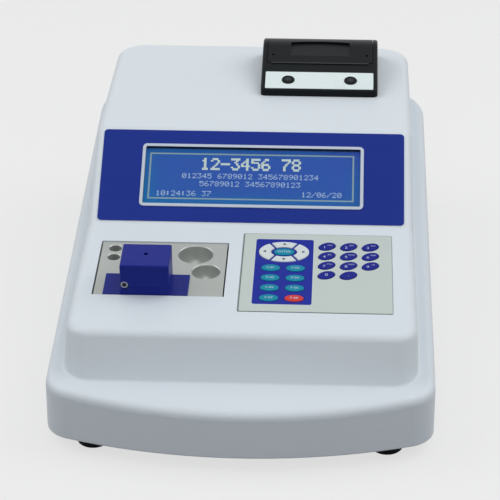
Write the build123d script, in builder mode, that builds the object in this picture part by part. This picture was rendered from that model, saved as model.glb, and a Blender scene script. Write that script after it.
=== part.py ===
"""Bench coagulation analyzer: moulded case, display, keypad, heated block, measuring head and printer.

Millimetres, +Z up. The origin is on the ground under the middle of the case, and the front faces -Y.
"""
from build123d import *
import os
from math import cos, hypot, radians, sin, sqrt, tan

os.makedirs("parts", exist_ok=True)

# Shared values
overrun = 6.0
fit_gap = 0.3
pivot_clearance = 0.05

# Case: the skirt
foot_height = 8.0
wall = 3.0
front_bow_rise = 22.3
front_corner_radius = 19.5
rear_corner_radius = 34.0
shelf_front_height = 36.8
shelf_slope = 7.0
shoulder_radius = 5.0
rim_radius = 1.2

# Case: the upper body
upper_root_height = 20.0
side_ledge = 9.3
rear_ledge = 5.5
side_draft = 1.5
deck_front_setback = 40.0
deck_front_height = 66.7
deck_slope = 4.5
front_face_slope = 67.0
deck_left_margin = 13.95
deck_middle_gap = 9.55
deck_right_margin = 15.5
display_slope = 33.0
fold_radius = 6.0
crown_radius = 10.0
upper_front_radius = 14.0
upper_rear_radius = 22.0
top_edge_radius = 6.0
top_lean_share = 0.6
edge_pick = 1.0
crease_radius = 1.8

# Base plate, feet and case screws
plate_recess = 1.5
plate_thickness = 2.0
plate_gap = 0.4
foot_side_inset = 27.05
foot_end_inset = 30.0
foot_top_radius = 10.5
foot_bottom_radius = 9.2
foot_bore_depth = 4.5
foot_edge = 0.8
screw_radius = 1.5
screw_length = 10.0
screw_head_radius = 2.8
screw_head_height = 2.2
screw_socket_radius = 1.25
screw_socket_depth = 1.2
screw_hole_gap = 0.05
case_boss_radius = 4.5
case_boss_height = 18.0
case_boss_end_inset = 70.0
case_boss_embed = 0.5

# Display label, frame and module
label_side_margin = 7.55
label_end_margin = 2.8
label_height = 67.4
label_thickness = 0.5
label_radius = 2.5
label_side_band = 27.3
label_end_band = 12.65
window_radius = 0.8
bezel_line = 2.05
bezel_proud = 0.6
bezel_collar = 1.2
lens_thickness = 1.2
display_seat = 1.2
module_lip = 0.5
module_side_reach = 8.5
module_end_reach = 4.6
module_frame_wall = 0.8
glass_thickness = 2.4
glass_margin = 3.0
light_guide_thickness = 2.8
board_thickness = 1.6
display_board_side_inset = 4.7
display_board_end_inset = 2.7
board_hole_inset = 4.0
board_boss_radius = 3.2
board_screw_length = 6.0
board_screw_radius = 1.25
board_screw_head_radius = 2.4
board_screw_head_height = 1.8

# Keypad
keypad_rear_margin = 8.4
keypad_front_margin = 23.8
keypad_left_margin = 9.85
keypad_right_margin = 7.25
keypad_top_margin = 9.9
keypad_bottom_margin = 11.45
keypad_thickness = 0.8
keypad_radius = 0.8
keypad_gap = 0.4
keypad_window_margin = 4.0
keypad_ring_depth = 3.0
keypad_ring_margin = 2.0
key_proud = 0.5
key_clearance = 0.25
key_travel = 0.4
key_board_gap = 0.1
key_edge = 0.25
key_group_gap = 5.2
arrow_ring_gap = 3.55
arrow_ring_width = 30.2
arrow_ring_height = 23.2
arrow_hub_width = 15.8
arrow_hub_height = 11.2
arrow_split = 1.5
arrow_split_place = 2.7
arrow_split_angle = 60.0
centre_key_width = 12.4
centre_key_height = 7.8
function_key_width = 11.2
function_key_height = 7.2
function_pitch_x = 14.8
function_pitch_y = 11.3
function_rows = 4
function_columns = 2
number_key_width = 11.1
number_key_height = 8.1
number_key_tilt = 35.0
number_pitch_x = 13.05
number_pitch_y = 11.1
number_top_drop = 14.15
number_rows = 4
number_columns = 3
number_key_count = 11

# Heated block with its wells, their places measured from its edges
block_rear_margin = 20.45
block_height = 34.0
block_recess = 0.6
block_gap = 0.9
block_end_gap = 0.3
well_chamfer = 0.5
large_well_inset = 18.65
large_well_drop = 13.2
large_well_radius = 10.35
large_well_straight = 4.5
small_well_inset = 11.3
small_well_spacing = 19.7
small_well_radius = 8.3
small_well_straight = 3.6
cuvette_radius = 3.75
cuvette_depth = 24.0
cuvette_inset = 8.0
cuvette_drop = 7.15
cuvette_well_spacing = 28.45
cuvette_pitch = 10.35
cuvette_columns = 3
cuvette_rows = 2
heater_side_inset = 12.9
heater_end_inset = 12.75
heater_thickness = 1.5
post_radius = 4.0
post_inset = 7.0

# Measuring head with its hinged light shield
head_gap = 18.5
head_depth = 25.5
wing_inset = 5.55
wing_width = 49.9
wing_depth = 23.3
wing_height = 0.8
shield_width = 28.8
split_height = 5.5
split_gap = 0.15
shield_top = 20.3
shield_wall = 2.0
shield_edge = 1.0
shield_roof_radius = 0.95
shield_hole_radius = 1.35
measuring_well_y = 1.15
measuring_clearance = 0.55
pin_inset = 2.5
pin_height = 6.9
pin_radius = 1.0
pin_head_radius = 2.15
pin_head_thickness = 1.2
pin_head_sink = 0.7
pin_socket_radius = 1.2
pin_head_clearance = 0.45
pin_socket_depth = 0.7
pin_end_gap = 0.8
knuckle_radius = 2.4
knuckle_length = 5.0
lug_radius = 1.9
lug_width = 3.0
lug_length = 8.0
relief_gap = 0.5
lug_gap = 0.4
beam_depth = 14.0
lamp_radius = 2.5
lamp_length = 8.6
lamp_setback = 1.0
nose_round_share = 0.9

# Printer
printer_gap = 55.25
printer_side_inset = 23.85
printer_side_margin = 4.4
printer_rear_margin = 26.0
printer_slope = 16.0
bezel_height = 4.7
crown_setback = 52.5
door_crown_radius = 24.0
cheek_thickness = 3.2
panel_thickness = 2.4
front_edge_radius = 1.5
slot_place = 28.8
slot_width = 0.8
ridge_height = 0.6
ridge_side_inset = 6.15
ridge_depth = 1.0
tub_front_margin = 4.0
tub_rear_margin = 4.5
tub_depth = 26.0
tub_wall = 2.0
tub_gap = 0.5
saddle_height = 6.0
flange_thickness = 1.2
frame_corner_radius = 3.6
rim_clearance = 0.4
door_thickness = 3.0
door_side_gap = 0.3
door_hinge_height = 6.5
door_barrel_radius = 3.4
door_pin_radius = 1.5
door_pin_length = 2.4
grip_width = 39.2
grip_start = 37.0
grip_length = 15.0
grip_depth = 2.0
grip_arch = 1.6
dimple_radius = 0.9
dimple_depth = 1.4
dimple_inset = 3.75
dimple_place = 37.7
strip_margin = 1.0
strip_side_inset = 2.95
strip_length = 17.5
strip_thickness = 0.3
strip_radius = 0.8
button_inset = 14.95
button_place = 9.8
button_radius = 4.1
button_proud = 0.5
button_gap = 0.15
button_flange = 0.8
button_flange_height = 0.8
button_flange_gap = 0.1
button_core_radius = 2.3
button_core_rise = 0.2
roll_radius = 15.0
roll_width = 57.5
roll_bore_radius = 6.0
roll_gap = 0.4
roll_before_crown = 1.0
roll_side_gap = 0.75
platen_radius = 4.0
platen_shaft_radius = 1.5
platen_behind_slot = 3.3
platen_drop = 8.3
platen_ear_thickness = 2.5
platen_ear_gap = 0.5
platen_ear_margin = 1.0
platen_tub_gap = 0.25
head_unit_reach = 1.25
head_unit_height = 19.0
head_unit_gap = 1.5
head_plate_thickness = 2.6
head_plate_rise = 6.0

# Rear panel and its fittings
rear_panel_margin = 6.5
rear_panel_end_margin = 8.6
rear_panel_edge_margin = 7.0
rear_panel_rise = 6.5
inlet_switch_gap = 16.0
switch_port_gap = 26.1
rear_panel_depth = 4.5
rear_panel_radius = 4.0
inlet_flange_width = 31.0
inlet_flange_height = 24.0
inlet_flange_thickness = 2.0
inlet_flange_radius = 2.0
inlet_body_width = 27.4
inlet_body_height = 20.0
inlet_body_depth = 19.0
inlet_socket_width = 24.4
inlet_socket_height = 16.8
inlet_socket_depth = 16.0
inlet_socket_chamfer = 4.5
inlet_blade_width = 2.0
inlet_blade_height = 4.0
inlet_blade_length = 10.5
inlet_blade_pitch = 7.0
inlet_earth_rise = 2.0
switch_flange_width = 17.0
switch_flange_height = 20.8
switch_flange_thickness = 1.6
switch_flange_radius = 1.6
switch_body_margin = 1.0
switch_body_depth = 13.0
rocker_width = 12.4
rocker_half_height = 7.5
rocker_side_gap = 0.35
rocker_end_gap = 0.7
rocker_rise = 4.2
rocker_dip = 1.0
rocker_back = 4.0
rocker_tilt = 7.0
rocker_pivot_sink = 1.0
rocker_pin_radius = 1.0
rocker_pin_length = 0.8
rocker_cavity_depth = 7.0
port_flange_width = 30.8
port_flange_height = 12.5
port_flange_thickness = 1.0
port_shell_width = 16.9
port_shell_height = 8.3
port_shell_radius = 2.0
port_shell_length = 6.0
port_hole_radius = 0.6
port_hole_depth = 3.0
port_hole_pitch = 2.7
port_row_spacing = 2.8
port_row_counts = (5, 4)
port_body_depth = 8.0

# Circuit boards and supply on the base plate
standoff_height = 6.0
standoff_radius = 3.5
main_board_side_inset = 19.55
main_board_front_inset = 81.0
main_board_width = 92.0
main_board_length = 130.0
processor_size = 24.0
processor_height = 2.6
header_width = 50.0
header_depth = 8.0
header_height = 9.0
capacitor_radius = 6.0
capacitor_height = 14.0
capacitor_pitch = 18.0
capacitor_count = 3
supply_side_inset = 23.55
supply_rear_inset = 50.0
supply_width = 84.0
supply_length = 112.0
supply_height = 34.0
supply_edge = 2.0
supply_slot_width = 3.0
supply_slot_length = 60.0
supply_slot_depth = 1.5
supply_slot_pitch = 9.0
supply_slot_count = 8
supply_ear_length = 8.0
supply_ear_thickness = 2.0
supply_hole_inset = 4.0

# Overlay and block: as large as what they hold, with their margins
number_group_width = (number_columns - 1) * number_pitch_x + number_key_width
function_group_height = (function_rows - 1) * function_pitch_y + function_key_height
keypad_width = (
    keypad_left_margin + arrow_ring_width + key_group_gap + number_group_width + keypad_right_margin
)
keypad_length = (
    keypad_top_margin + arrow_ring_height + arrow_ring_gap + function_group_height + keypad_bottom_margin
)
block_width = (
    cuvette_inset + (cuvette_columns - 1) * cuvette_pitch + cuvette_well_spacing + large_well_inset
)
block_length = cuvette_drop + (cuvette_rows - 1) * cuvette_pitch + head_gap + head_depth

# Case: its width follows from the deck, and its depth from the deck, the display and the printer
upper_root_width = (
    deck_left_margin + block_width + deck_middle_gap + keypad_width + deck_right_margin
)
body_width = upper_root_width + 2 * side_ledge
deck_run = (keypad_rear_margin + keypad_length + keypad_front_margin) * cos(radians(deck_slope))
fold_setback = deck_front_setback + deck_run
display_length = label_height + 2 * label_end_margin
display_run = display_length * cos(radians(display_slope))
printer_front_setback = fold_setback + display_run + printer_gap
body_depth = printer_front_setback + crown_setback + door_crown_radius + printer_rear_margin
front_y = -body_depth / 2
rear_y = body_depth / 2
front_bow_radius = ((body_width / 2) ** 2 + front_bow_rise**2) / (2 * front_bow_rise)
deck_front_y = front_y + deck_front_setback
fold_y = front_y + fold_setback
fold_z = deck_front_height + deck_run * tan(radians(deck_slope))
rear_deck_height = fold_z + display_length * sin(radians(display_slope))
front_face_run = (deck_front_height - upper_root_height) / tan(radians(front_face_slope))
shelf_rear_height = shelf_front_height + body_depth * tan(radians(shelf_slope))

# Display label, its window and the module behind it
label_width = upper_root_width - 2 * label_side_margin
window_width = label_width - 2 * label_side_band
window_height = label_height - 2 * label_end_band
module_frame_width = window_width + 2 * module_side_reach
module_frame_height = window_height + 2 * module_end_reach
display_board_width = label_width - 2 * display_board_side_inset
display_board_height = label_height - 2 * display_board_end_inset

# Places on the deck, on the overlay and on the block
keypad_x = (upper_root_width - keypad_width) / 2 - deck_right_margin
keypad_drop = keypad_rear_margin + keypad_length / 2
key_group_x = keypad_left_margin + (arrow_ring_width - keypad_width) / 2
arrow_ring_y = (keypad_length - arrow_ring_height) / 2 - keypad_top_margin
function_centre_y = keypad_bottom_margin + (function_group_height - keypad_length) / 2
number_centre_x = (keypad_width - number_group_width) / 2 - keypad_right_margin
number_centre_y = keypad_length / 2 - number_top_drop - (number_rows - 1) / 2 * number_pitch_y
block_x = deck_left_margin + (block_width - upper_root_width) / 2
block_drop = block_rear_margin + block_length / 2
large_well_x = block_width / 2 - large_well_inset
large_well_y = block_length / 2 - large_well_drop
small_well_x = block_width / 2 - small_well_inset
small_well_y = large_well_y - small_well_spacing
cuvette_corner_x = cuvette_inset - block_width / 2
cuvette_corner_y = block_length / 2 - cuvette_drop
head_x = wing_inset + (wing_width - block_width) / 2
heater_width = block_width - 2 * heater_side_inset
heater_length = block_length - 2 * heater_end_inset
plate_bottom = foot_height + plate_recess
plate_top = plate_bottom + plate_thickness
shelf_plane = Plane(
    origin=(0, front_y, shelf_front_height),
    x_dir=(1, 0, 0),
    z_dir=(0, -sin(radians(shelf_slope)), cos(radians(shelf_slope))),
)
deck_plane = Plane(
    origin=(0, fold_y, fold_z),
    x_dir=(1, 0, 0),
    z_dir=(0, -sin(radians(deck_slope)), cos(radians(deck_slope))),
)
fold_display_plane = Plane(
    origin=(0, fold_y, fold_z),
    x_dir=(1, 0, 0),
    z_dir=(0, -sin(radians(display_slope)), cos(radians(display_slope))),
)


def plane_at(plane, x, y, z):
    """The same plane with its origin moved to a place given in its own directions."""
    return Plane(origin=plane.from_local_coords((x, y, z)), x_dir=plane.x_dir, z_dir=plane.z_dir)


def side_plane(plane, x):
    """A plane across the given one, whose first direction is its Y and second its Z."""
    return Plane(origin=plane.from_local_coords((x, 0, 0)), x_dir=plane.y_dir, z_dir=plane.x_dir)


display_plane = plane_at(fold_display_plane, 0, display_length / 2, 0)
keypad_plane = plane_at(deck_plane, keypad_x, -keypad_drop, 0)
block_plane = plane_at(deck_plane, block_x, -block_drop, -block_recess)
block_floor_plane = block_plane.offset(-block_height)

# The case outline, drawn once for the outside and once for the inside


def skirt_outline(inset):
    """Plan of the skirt: straight sides and rear, bowed front, rounded corners."""
    half_width = body_width / 2 - inset
    bow_radius = front_bow_radius - inset
    bow_centre = front_y + front_bow_radius
    corner_y = bow_centre - sqrt(bow_radius**2 - half_width**2)
    with BuildSketch() as outline:
        with BuildLine():
            Polyline(
                (-half_width, corner_y),
                (-half_width, rear_y - inset),
                (half_width, rear_y - inset),
                (half_width, corner_y),
            )
            ThreePointArc(
                (half_width, corner_y),
                (0, bow_centre - bow_radius),
                (-half_width, corner_y),
            )
        make_face()
        fillet(outline.vertices().group_by(Axis.Y)[0], radius=front_corner_radius - inset)
        fillet(outline.vertices().group_by(Axis.Y)[-1], radius=rear_corner_radius - inset)
    return outline.sketch


def skirt_form(inset, floor):
    """Solid skirt up to the sloping shelf, moved inwards by inset."""
    with BuildPart() as form:
        with BuildSketch(Plane.XY.offset(floor)):
            add(skirt_outline(inset))
        extrude(amount=shelf_rear_height)
        split(bisect_by=shelf_plane.offset(-inset), keep=Keep.BOTTOM)
        shelf_face = form.faces().sort_by(Axis.Z)[-1]
        fillet(shelf_face.edges(), radius=shoulder_radius - inset)
    return form.part


def upper_form(inset):
    """Solid upper body: side profile kept inside a drafted plan, then rounded along its edges."""
    with BuildPart() as form:
        with BuildSketch(Plane.XY.offset(upper_root_height)) as plan:
            half_width = upper_root_width / 2 - inset
            with BuildLine():
                Polyline(
                    (-half_width, front_y),
                    (half_width, front_y),
                    (half_width, rear_y - rear_ledge - inset),
                    (-half_width, rear_y - rear_ledge - inset),
                    close=True,
                )
            make_face()
            fillet(plan.vertices().group_by(Axis.Y)[-1], radius=upper_rear_radius - inset)
        extrude(amount=rear_deck_height, taper=side_draft)
        with BuildSketch(Plane.YZ) as profile:
            with BuildLine():
                Polyline(
                    (deck_front_y - front_face_run, upper_root_height),
                    (deck_front_y, deck_front_height),
                    (fold_y, fold_z),
                    (fold_y + display_run, rear_deck_height),
                    (rear_y, rear_deck_height),
                    (rear_y, upper_root_height),
                    close=True,
                )
            make_face()
            if inset:
                offset(amount=-inset, kind=Kind.INTERSECTION)
            fillet(profile.vertices().sort_by(Axis.X)[2], radius=fold_radius + inset)
            fillet(profile.vertices().sort_by(Axis.X)[4], radius=crown_radius - inset)
        extrude(amount=body_width, both=True, mode=Mode.INTERSECT)
        front_face = form.faces().sort_by(Axis.Y)[0]
        corners = front_face.edges().group_by(Axis.X)
        fillet([corners[0][0], corners[-1][0]], radius=upper_front_radius - inset)
        tops = form.faces().filter_by(lambda face: face.normal_at().Z > top_lean_share)
        across = [edge for face in tops for edge in face.edges() if abs(edge.center().X) < edge_pick]
        along = [edge for face in tops for edge in face.edges() if abs(edge.center().X) > edge_pick]
        ends = ShapeList(across).sort_by(Axis.Y)
        fillet(along + [ends[0], ends[-1]], radius=top_edge_radius - inset)
    return form.part


outer_skirt = skirt_form(0, foot_height)
outer_upper = upper_form(0)
inner_skirt = skirt_form(wall, foot_height - overrun)
inner_upper = upper_form(wall)

# Depths behind the display face
module_front = display_seat + fit_gap
module_depth = module_lip + glass_thickness + light_guide_thickness
display_board_front = module_front + module_depth
display_hole_pitch_x = display_board_width - 2 * board_hole_inset
display_hole_pitch_y = display_board_height - 2 * board_hole_inset

# Depths under the keypad
keypad_board_front = wall + keypad_ring_depth
keypad_hole_pitch_x = keypad_width - keypad_window_margin
keypad_hole_pitch_y = keypad_length - keypad_window_margin
key_foot = keypad_board_front - key_travel - key_board_gap
key_height = key_foot + key_proud

# Places on the base plate
case_boss_x = body_width / 2 - wall - case_boss_radius + case_boss_embed
case_boss_pitch = body_depth / 2 - case_boss_end_inset
case_boss_places = [(side * case_boss_x, row * case_boss_pitch) for side in (-1, 1) for row in (-1, 0, 1)]
foot_x = body_width / 2 - foot_side_inset
foot_y = body_depth / 2 - foot_end_inset
foot_places = [(side * foot_x, end * foot_y) for side in (-1, 1) for end in (-1, 1)]
main_board_x = (body_width - main_board_width) / 2 - main_board_side_inset
main_board_y = front_y + main_board_front_inset + main_board_length / 2
main_board_plane = Plane(origin=(main_board_x, main_board_y, plate_top + standoff_height))
main_hole_pitch_x = main_board_width - 2 * board_hole_inset
main_hole_pitch_y = main_board_length - 2 * board_hole_inset
supply_x = supply_side_inset + (supply_width - body_width) / 2
supply_y = rear_y - supply_rear_inset - supply_length / 2
supply_plane = Plane(origin=(supply_x, supply_y, plate_top + standoff_height))
supply_hole_pitch_x = supply_width - 2 * supply_hole_inset
supply_hole_pitch_y = supply_length - supply_ear_length
shank_hole = screw_radius + screw_hole_gap
board_screw_hole = board_screw_radius + screw_hole_gap

# Places on the heated block and its measuring head
head_plane = plane_at(block_plane, head_x, (head_depth - block_length) / 2, 0)
pin_x = pin_inset - shield_width / 2
pin_plane = Plane(
    origin=head_plane.from_local_coords((pin_x, 0, pin_height)),
    x_dir=head_plane.x_dir,
    z_dir=-head_plane.y_dir,
)
beam_plane = Plane(
    origin=head_plane.from_local_coords((0, measuring_well_y, -beam_depth)),
    x_dir=head_plane.y_dir,
    z_dir=head_plane.x_dir,
)
cuvette_places = [
    (cuvette_corner_x + column * cuvette_pitch, cuvette_corner_y - row * cuvette_pitch)
    for column in range(cuvette_columns)
    for row in range(cuvette_rows)
]
measuring_well_x = head_x
measuring_well_block_y = (head_depth - block_length) / 2 + measuring_well_y
relief_radius = hypot(pin_inset, pin_height - split_height) + relief_gap

# Sizes and places on the printer
platen_length = roll_width
ear_start = platen_length / 2 + platen_ear_gap
ear_end = ear_start + platen_ear_thickness
tub_width = 2 * (ear_end + platen_tub_gap + tub_wall)
tub_length = crown_setback + door_crown_radius - tub_front_margin - tub_rear_margin
printer_width = tub_width + 2 * printer_side_margin
printer_x = (upper_root_width - printer_width) / 2 - printer_side_inset
strip_width = printer_width - 2 * strip_side_inset
button_spacing = strip_width - 2 * button_inset
ridge_width = printer_width - 2 * ridge_side_inset
head_unit_width = roll_width + 2 * head_unit_reach
printer_front_y = front_y + printer_front_setback
slope_plane = Plane(
    origin=(printer_x, printer_front_y, rear_deck_height + bezel_height),
    x_dir=(1, 0, 0),
    z_dir=(0, -sin(radians(printer_slope)), cos(radians(printer_slope))),
)
crown_y = printer_front_y + crown_setback
crown_z = (
    rear_deck_height
    + bezel_height
    + crown_setback * tan(radians(printer_slope))
    - door_crown_radius / cos(radians(printer_slope))
)
hinge_z = rear_deck_height + door_hinge_height
hinge_y = crown_y + sqrt((door_crown_radius - door_barrel_radius) ** 2 - (hinge_z - crown_z) ** 2)
rim_z = hinge_z - door_barrel_radius - rim_clearance
tub_front_y = printer_front_y + tub_front_margin
tub_floor_z = rear_deck_height - tub_depth + tub_wall
roll_y = crown_y - roll_before_crown
roll_z = tub_floor_z + roll_radius + roll_gap
bay_width = printer_width - 2 * cheek_thickness
door_width = bay_width - 2 * door_side_gap
dimple_spacing = door_width - 2 * dimple_inset
platen_place = slope_plane.from_local_coords((0, slot_place + platen_behind_slot, -platen_drop))

# Sizes and places on the rear panel: its plane looks inwards
rear_panel_width = (
    rear_panel_margin
    + inlet_flange_width
    + inlet_switch_gap
    + switch_flange_width
    + switch_port_gap
    + port_flange_width
    + rear_panel_end_margin
)
rear_panel_height = inlet_flange_height + 2 * rear_panel_edge_margin
rear_panel_middle = plate_top + rear_panel_rise + wall + rear_panel_height / 2
inlet_x = rear_panel_margin + (inlet_flange_width - rear_panel_width) / 2
switch_x = inlet_x + (inlet_flange_width + switch_flange_width) / 2 + inlet_switch_gap
port_x = switch_x + (switch_flange_width + port_flange_width) / 2 + switch_port_gap
rear_plane = Plane(origin=(0, rear_y, rear_panel_middle), x_dir=(1, 0, 0), z_dir=(0, -1, 0))
rear_floor_plane = rear_plane.offset(rear_panel_depth)
rear_inner_plane = rear_floor_plane.offset(wall)
rocker_y = rear_y - rear_panel_depth - rocker_pivot_sink
switch_body_width = rocker_width + 2 * (rocker_side_gap + switch_body_margin)
switch_body_height = 2 * (rocker_half_height + rocker_end_gap + switch_body_margin)

# Housing: one moulded shell, open underneath
with BuildPart() as housing:
    add(outer_skirt)
    add(outer_upper)
    shelf_face = housing.faces().filter_by(shelf_plane).sort_by(SortBy.AREA)[-1]
    fillet(shelf_face.inner_wires()[0].edges(), radius=crease_radius)
    fillet(housing.faces().sort_by(Axis.Z)[0].edges(), radius=rim_radius)
    add(inner_skirt, mode=Mode.SUBTRACT)
    add(inner_upper, mode=Mode.SUBTRACT)
    # Bosses for the case screws, joined to the side walls
    with BuildSketch(Plane.XY.offset(plate_top)):
        with Locations(*case_boss_places):
            Circle(case_boss_radius)
    extrude(amount=case_boss_height)
    with BuildSketch(Plane.XY.offset(plate_top)):
        with Locations(*case_boss_places):
            Circle(shank_hole)
    extrude(amount=screw_length, mode=Mode.SUBTRACT)
    # Display opening with the seat of its module and the bosses of its board
    with BuildSketch(display_plane.offset(-display_board_front)):
        with GridLocations(display_hole_pitch_x, display_hole_pitch_y, 2, 2):
            Circle(board_boss_radius)
    extrude(amount=display_board_front - wall / 2)
    with BuildSketch(display_plane.offset(-display_board_front)):
        with GridLocations(display_hole_pitch_x, display_hole_pitch_y, 2, 2):
            Circle(board_screw_hole)
    extrude(amount=board_screw_length - board_thickness, mode=Mode.SUBTRACT)
    with BuildSketch(display_plane.offset(-wall - overrun)):
        Rectangle(module_frame_width + 2 * fit_gap, module_frame_height + 2 * fit_gap)
    extrude(amount=wall + overrun - display_seat, mode=Mode.SUBTRACT)
    with BuildSketch(display_plane.offset(-wall - overrun)):
        collar = bezel_collar + fit_gap
        RectangleRounded(window_width + 2 * collar, window_height + 2 * collar, window_radius + collar)
    extrude(amount=wall + 2 * overrun, mode=Mode.SUBTRACT)
    # Keypad opening in its shallow recess, with a stiffening ring that takes the board's screws
    with BuildSketch(keypad_plane.offset(-keypad_board_front)):
        Rectangle(keypad_width + 2 * keypad_ring_margin, keypad_length + 2 * keypad_ring_margin)
    extrude(amount=keypad_board_front - wall / 2)
    with BuildSketch(keypad_plane.offset(-keypad_board_front - overrun)):
        Rectangle(keypad_width - 2 * keypad_window_margin, keypad_length - 2 * keypad_window_margin)
    extrude(amount=keypad_board_front + 2 * overrun, mode=Mode.SUBTRACT)
    with BuildSketch(keypad_plane.offset(-keypad_board_front)):
        with GridLocations(keypad_hole_pitch_x, keypad_hole_pitch_y, 2, 2):
            Circle(board_screw_hole)
    extrude(amount=board_screw_length - board_thickness, mode=Mode.SUBTRACT)
    with BuildSketch(keypad_plane.offset(-keypad_thickness)):
        RectangleRounded(
            keypad_width + 2 * keypad_gap,
            keypad_length + 2 * keypad_gap,
            keypad_radius + keypad_gap,
        )
    extrude(amount=keypad_thickness + overrun, mode=Mode.SUBTRACT)
    # Opening for the heated block
    with BuildSketch(block_plane.offset(-wall - overrun)):
        Rectangle(block_width + 2 * block_gap, block_length + 2 * block_end_gap)
    extrude(amount=wall + 2 * overrun, mode=Mode.SUBTRACT)
    # Opening for the printer
    with BuildSketch(Plane.XY.offset(rear_deck_height - wall - overrun)):
        with Locations((printer_x, tub_front_y + tub_length / 2)):
            Rectangle(tub_width + 2 * tub_gap, tub_length + 2 * tub_gap)
    extrude(amount=wall + 2 * overrun, mode=Mode.SUBTRACT)
    # Recessed rear panel with the openings of its fittings
    with BuildSketch(rear_plane.offset(wall / 2)):
        RectangleRounded(
            rear_panel_width + 2 * wall,
            rear_panel_height + 2 * wall,
            rear_panel_radius + wall,
        )
    extrude(amount=rear_panel_depth + wall / 2)
    with BuildSketch(rear_plane.offset(-overrun)):
        RectangleRounded(rear_panel_width, rear_panel_height, rear_panel_radius)
    extrude(amount=overrun + rear_panel_depth, mode=Mode.SUBTRACT)
    with BuildSketch(rear_floor_plane.offset(-overrun)):
        with Locations((inlet_x, 0)):
            Rectangle(inlet_body_width + 2 * fit_gap, inlet_body_height + 2 * fit_gap)
        with Locations((switch_x, 0)):
            Rectangle(switch_body_width + 2 * fit_gap, switch_body_height + 2 * fit_gap)
        with Locations((port_x, 0)):
            RectangleRounded(
                port_shell_width + 2 * fit_gap,
                port_shell_height + 2 * fit_gap,
                port_shell_radius + fit_gap,
            )
    extrude(amount=wall + 2 * overrun, mode=Mode.SUBTRACT)
housing.part.label = "housing"
export_step(housing.part, "parts/housing.step")

# Base plate with the standoffs pressed into it
with BuildPart() as base_plate:
    with BuildSketch(Plane.XY.offset(plate_bottom)):
        add(skirt_outline(wall + plate_gap))
    extrude(amount=plate_thickness)
    with BuildSketch(Plane.XY.offset(plate_top)):
        with Locations((main_board_x, main_board_y)):
            with GridLocations(main_hole_pitch_x, main_hole_pitch_y, 2, 2):
                Circle(standoff_radius)
        with Locations((supply_x, supply_y)):
            with GridLocations(supply_hole_pitch_x, supply_hole_pitch_y, 2, 2):
                Circle(standoff_radius)
    extrude(amount=standoff_height)
    with BuildSketch(Plane.XY.offset(plate_top + standoff_height)):
        with Locations((main_board_x, main_board_y)):
            with GridLocations(main_hole_pitch_x, main_hole_pitch_y, 2, 2):
                Circle(board_screw_hole)
        with Locations((supply_x, supply_y)):
            with GridLocations(supply_hole_pitch_x, supply_hole_pitch_y, 2, 2):
                Circle(board_screw_hole)
    extrude(amount=-standoff_height, mode=Mode.SUBTRACT)
    with BuildSketch(Plane.XY.offset(plate_bottom)):
        with Locations(*case_boss_places, *foot_places):
            Circle(shank_hole)
    extrude(amount=plate_thickness, mode=Mode.SUBTRACT)
base_plate.part.label = "base_plate"
export_step(base_plate.part, "parts/base_plate.step")

# Four rubber feet, each a turned cone with a bore for its screw
with BuildPart() as feet:
    for x, y in foot_places:
        foot_profile_plane = Plane(origin=(x, y, 0), x_dir=(1, 0, 0), z_dir=(0, -1, 0))
        with BuildSketch(foot_profile_plane):
            with BuildLine():
                Polyline(
                    (screw_head_radius + fit_gap, 0),
                    (foot_bottom_radius - foot_edge, 0),
                    (foot_bottom_radius, foot_edge),
                    (foot_top_radius, plate_bottom),
                    (shank_hole, plate_bottom),
                    (shank_hole, foot_bore_depth),
                    (screw_head_radius + fit_gap, foot_bore_depth),
                    close=True,
                )
            make_face()
        revolve(axis=Axis((x, y, 0), (0, 0, 1)))
feet.part.label = "feet"
export_step(feet.part, "parts/feet.step")


def screw(plane, radius, length, head_radius, head_height):
    """Pan-head screw: the plane lies under its head and looks along its shank."""
    with BuildPart() as piece:
        with BuildSketch(plane):
            Circle(radius)
        extrude(amount=length)
        with BuildSketch(plane):
            Circle(head_radius)
        extrude(amount=-head_height)
        with BuildSketch(plane.offset(-head_height)):
            RegularPolygon(screw_socket_radius, 6)
        extrude(amount=screw_socket_depth, mode=Mode.SUBTRACT)
    return piece.part


# Case screws: four through the feet and six through the base plate into the housing
case_screw_solids = [
    screw(Plane(origin=(x, y, z)), screw_radius, screw_length, screw_head_radius, screw_head_height)
    for places, z in ((foot_places, foot_bore_depth), (case_boss_places, plate_bottom))
    for x, y in places
]
with BuildPart() as case_screws:
    for solid in case_screw_solids:
        add(solid)
case_screws.part.label = "case_screws"
export_step(case_screws.part, "parts/case_screws.step")

# Board screws: display board, keypad board, main board and supply, four each
display_screw_plane = display_plane.offset(-display_board_front - board_thickness)
keypad_screw_plane = keypad_plane.offset(-keypad_board_front - board_thickness)
main_screw_plane = main_board_plane.offset(board_thickness)
supply_screw_plane = supply_plane.offset(supply_ear_thickness)
board_screw_planes = []
for plane, pitch_x, pitch_y, way in (
    (display_screw_plane, display_hole_pitch_x, display_hole_pitch_y, 1),
    (keypad_screw_plane, keypad_hole_pitch_x, keypad_hole_pitch_y, 1),
    (main_screw_plane, main_hole_pitch_x, main_hole_pitch_y, -1),
    (supply_screw_plane, supply_hole_pitch_x, supply_hole_pitch_y, -1),
):
    for side in (-1, 1):
        for end in (-1, 1):
            place = plane.from_local_coords((side * pitch_x / 2, end * pitch_y / 2, 0))
            board_screw_planes.append(Plane(origin=place, x_dir=plane.x_dir, z_dir=plane.z_dir * way))
board_screw_solids = [
    screw(plane, board_screw_radius, board_screw_length, board_screw_head_radius, board_screw_head_height)
    for plane in board_screw_planes
]
with BuildPart() as board_screws:
    for solid in board_screw_solids:
        add(solid)
board_screws.part.label = "board_screws"
export_step(board_screws.part, "parts/board_screws.step")

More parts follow.
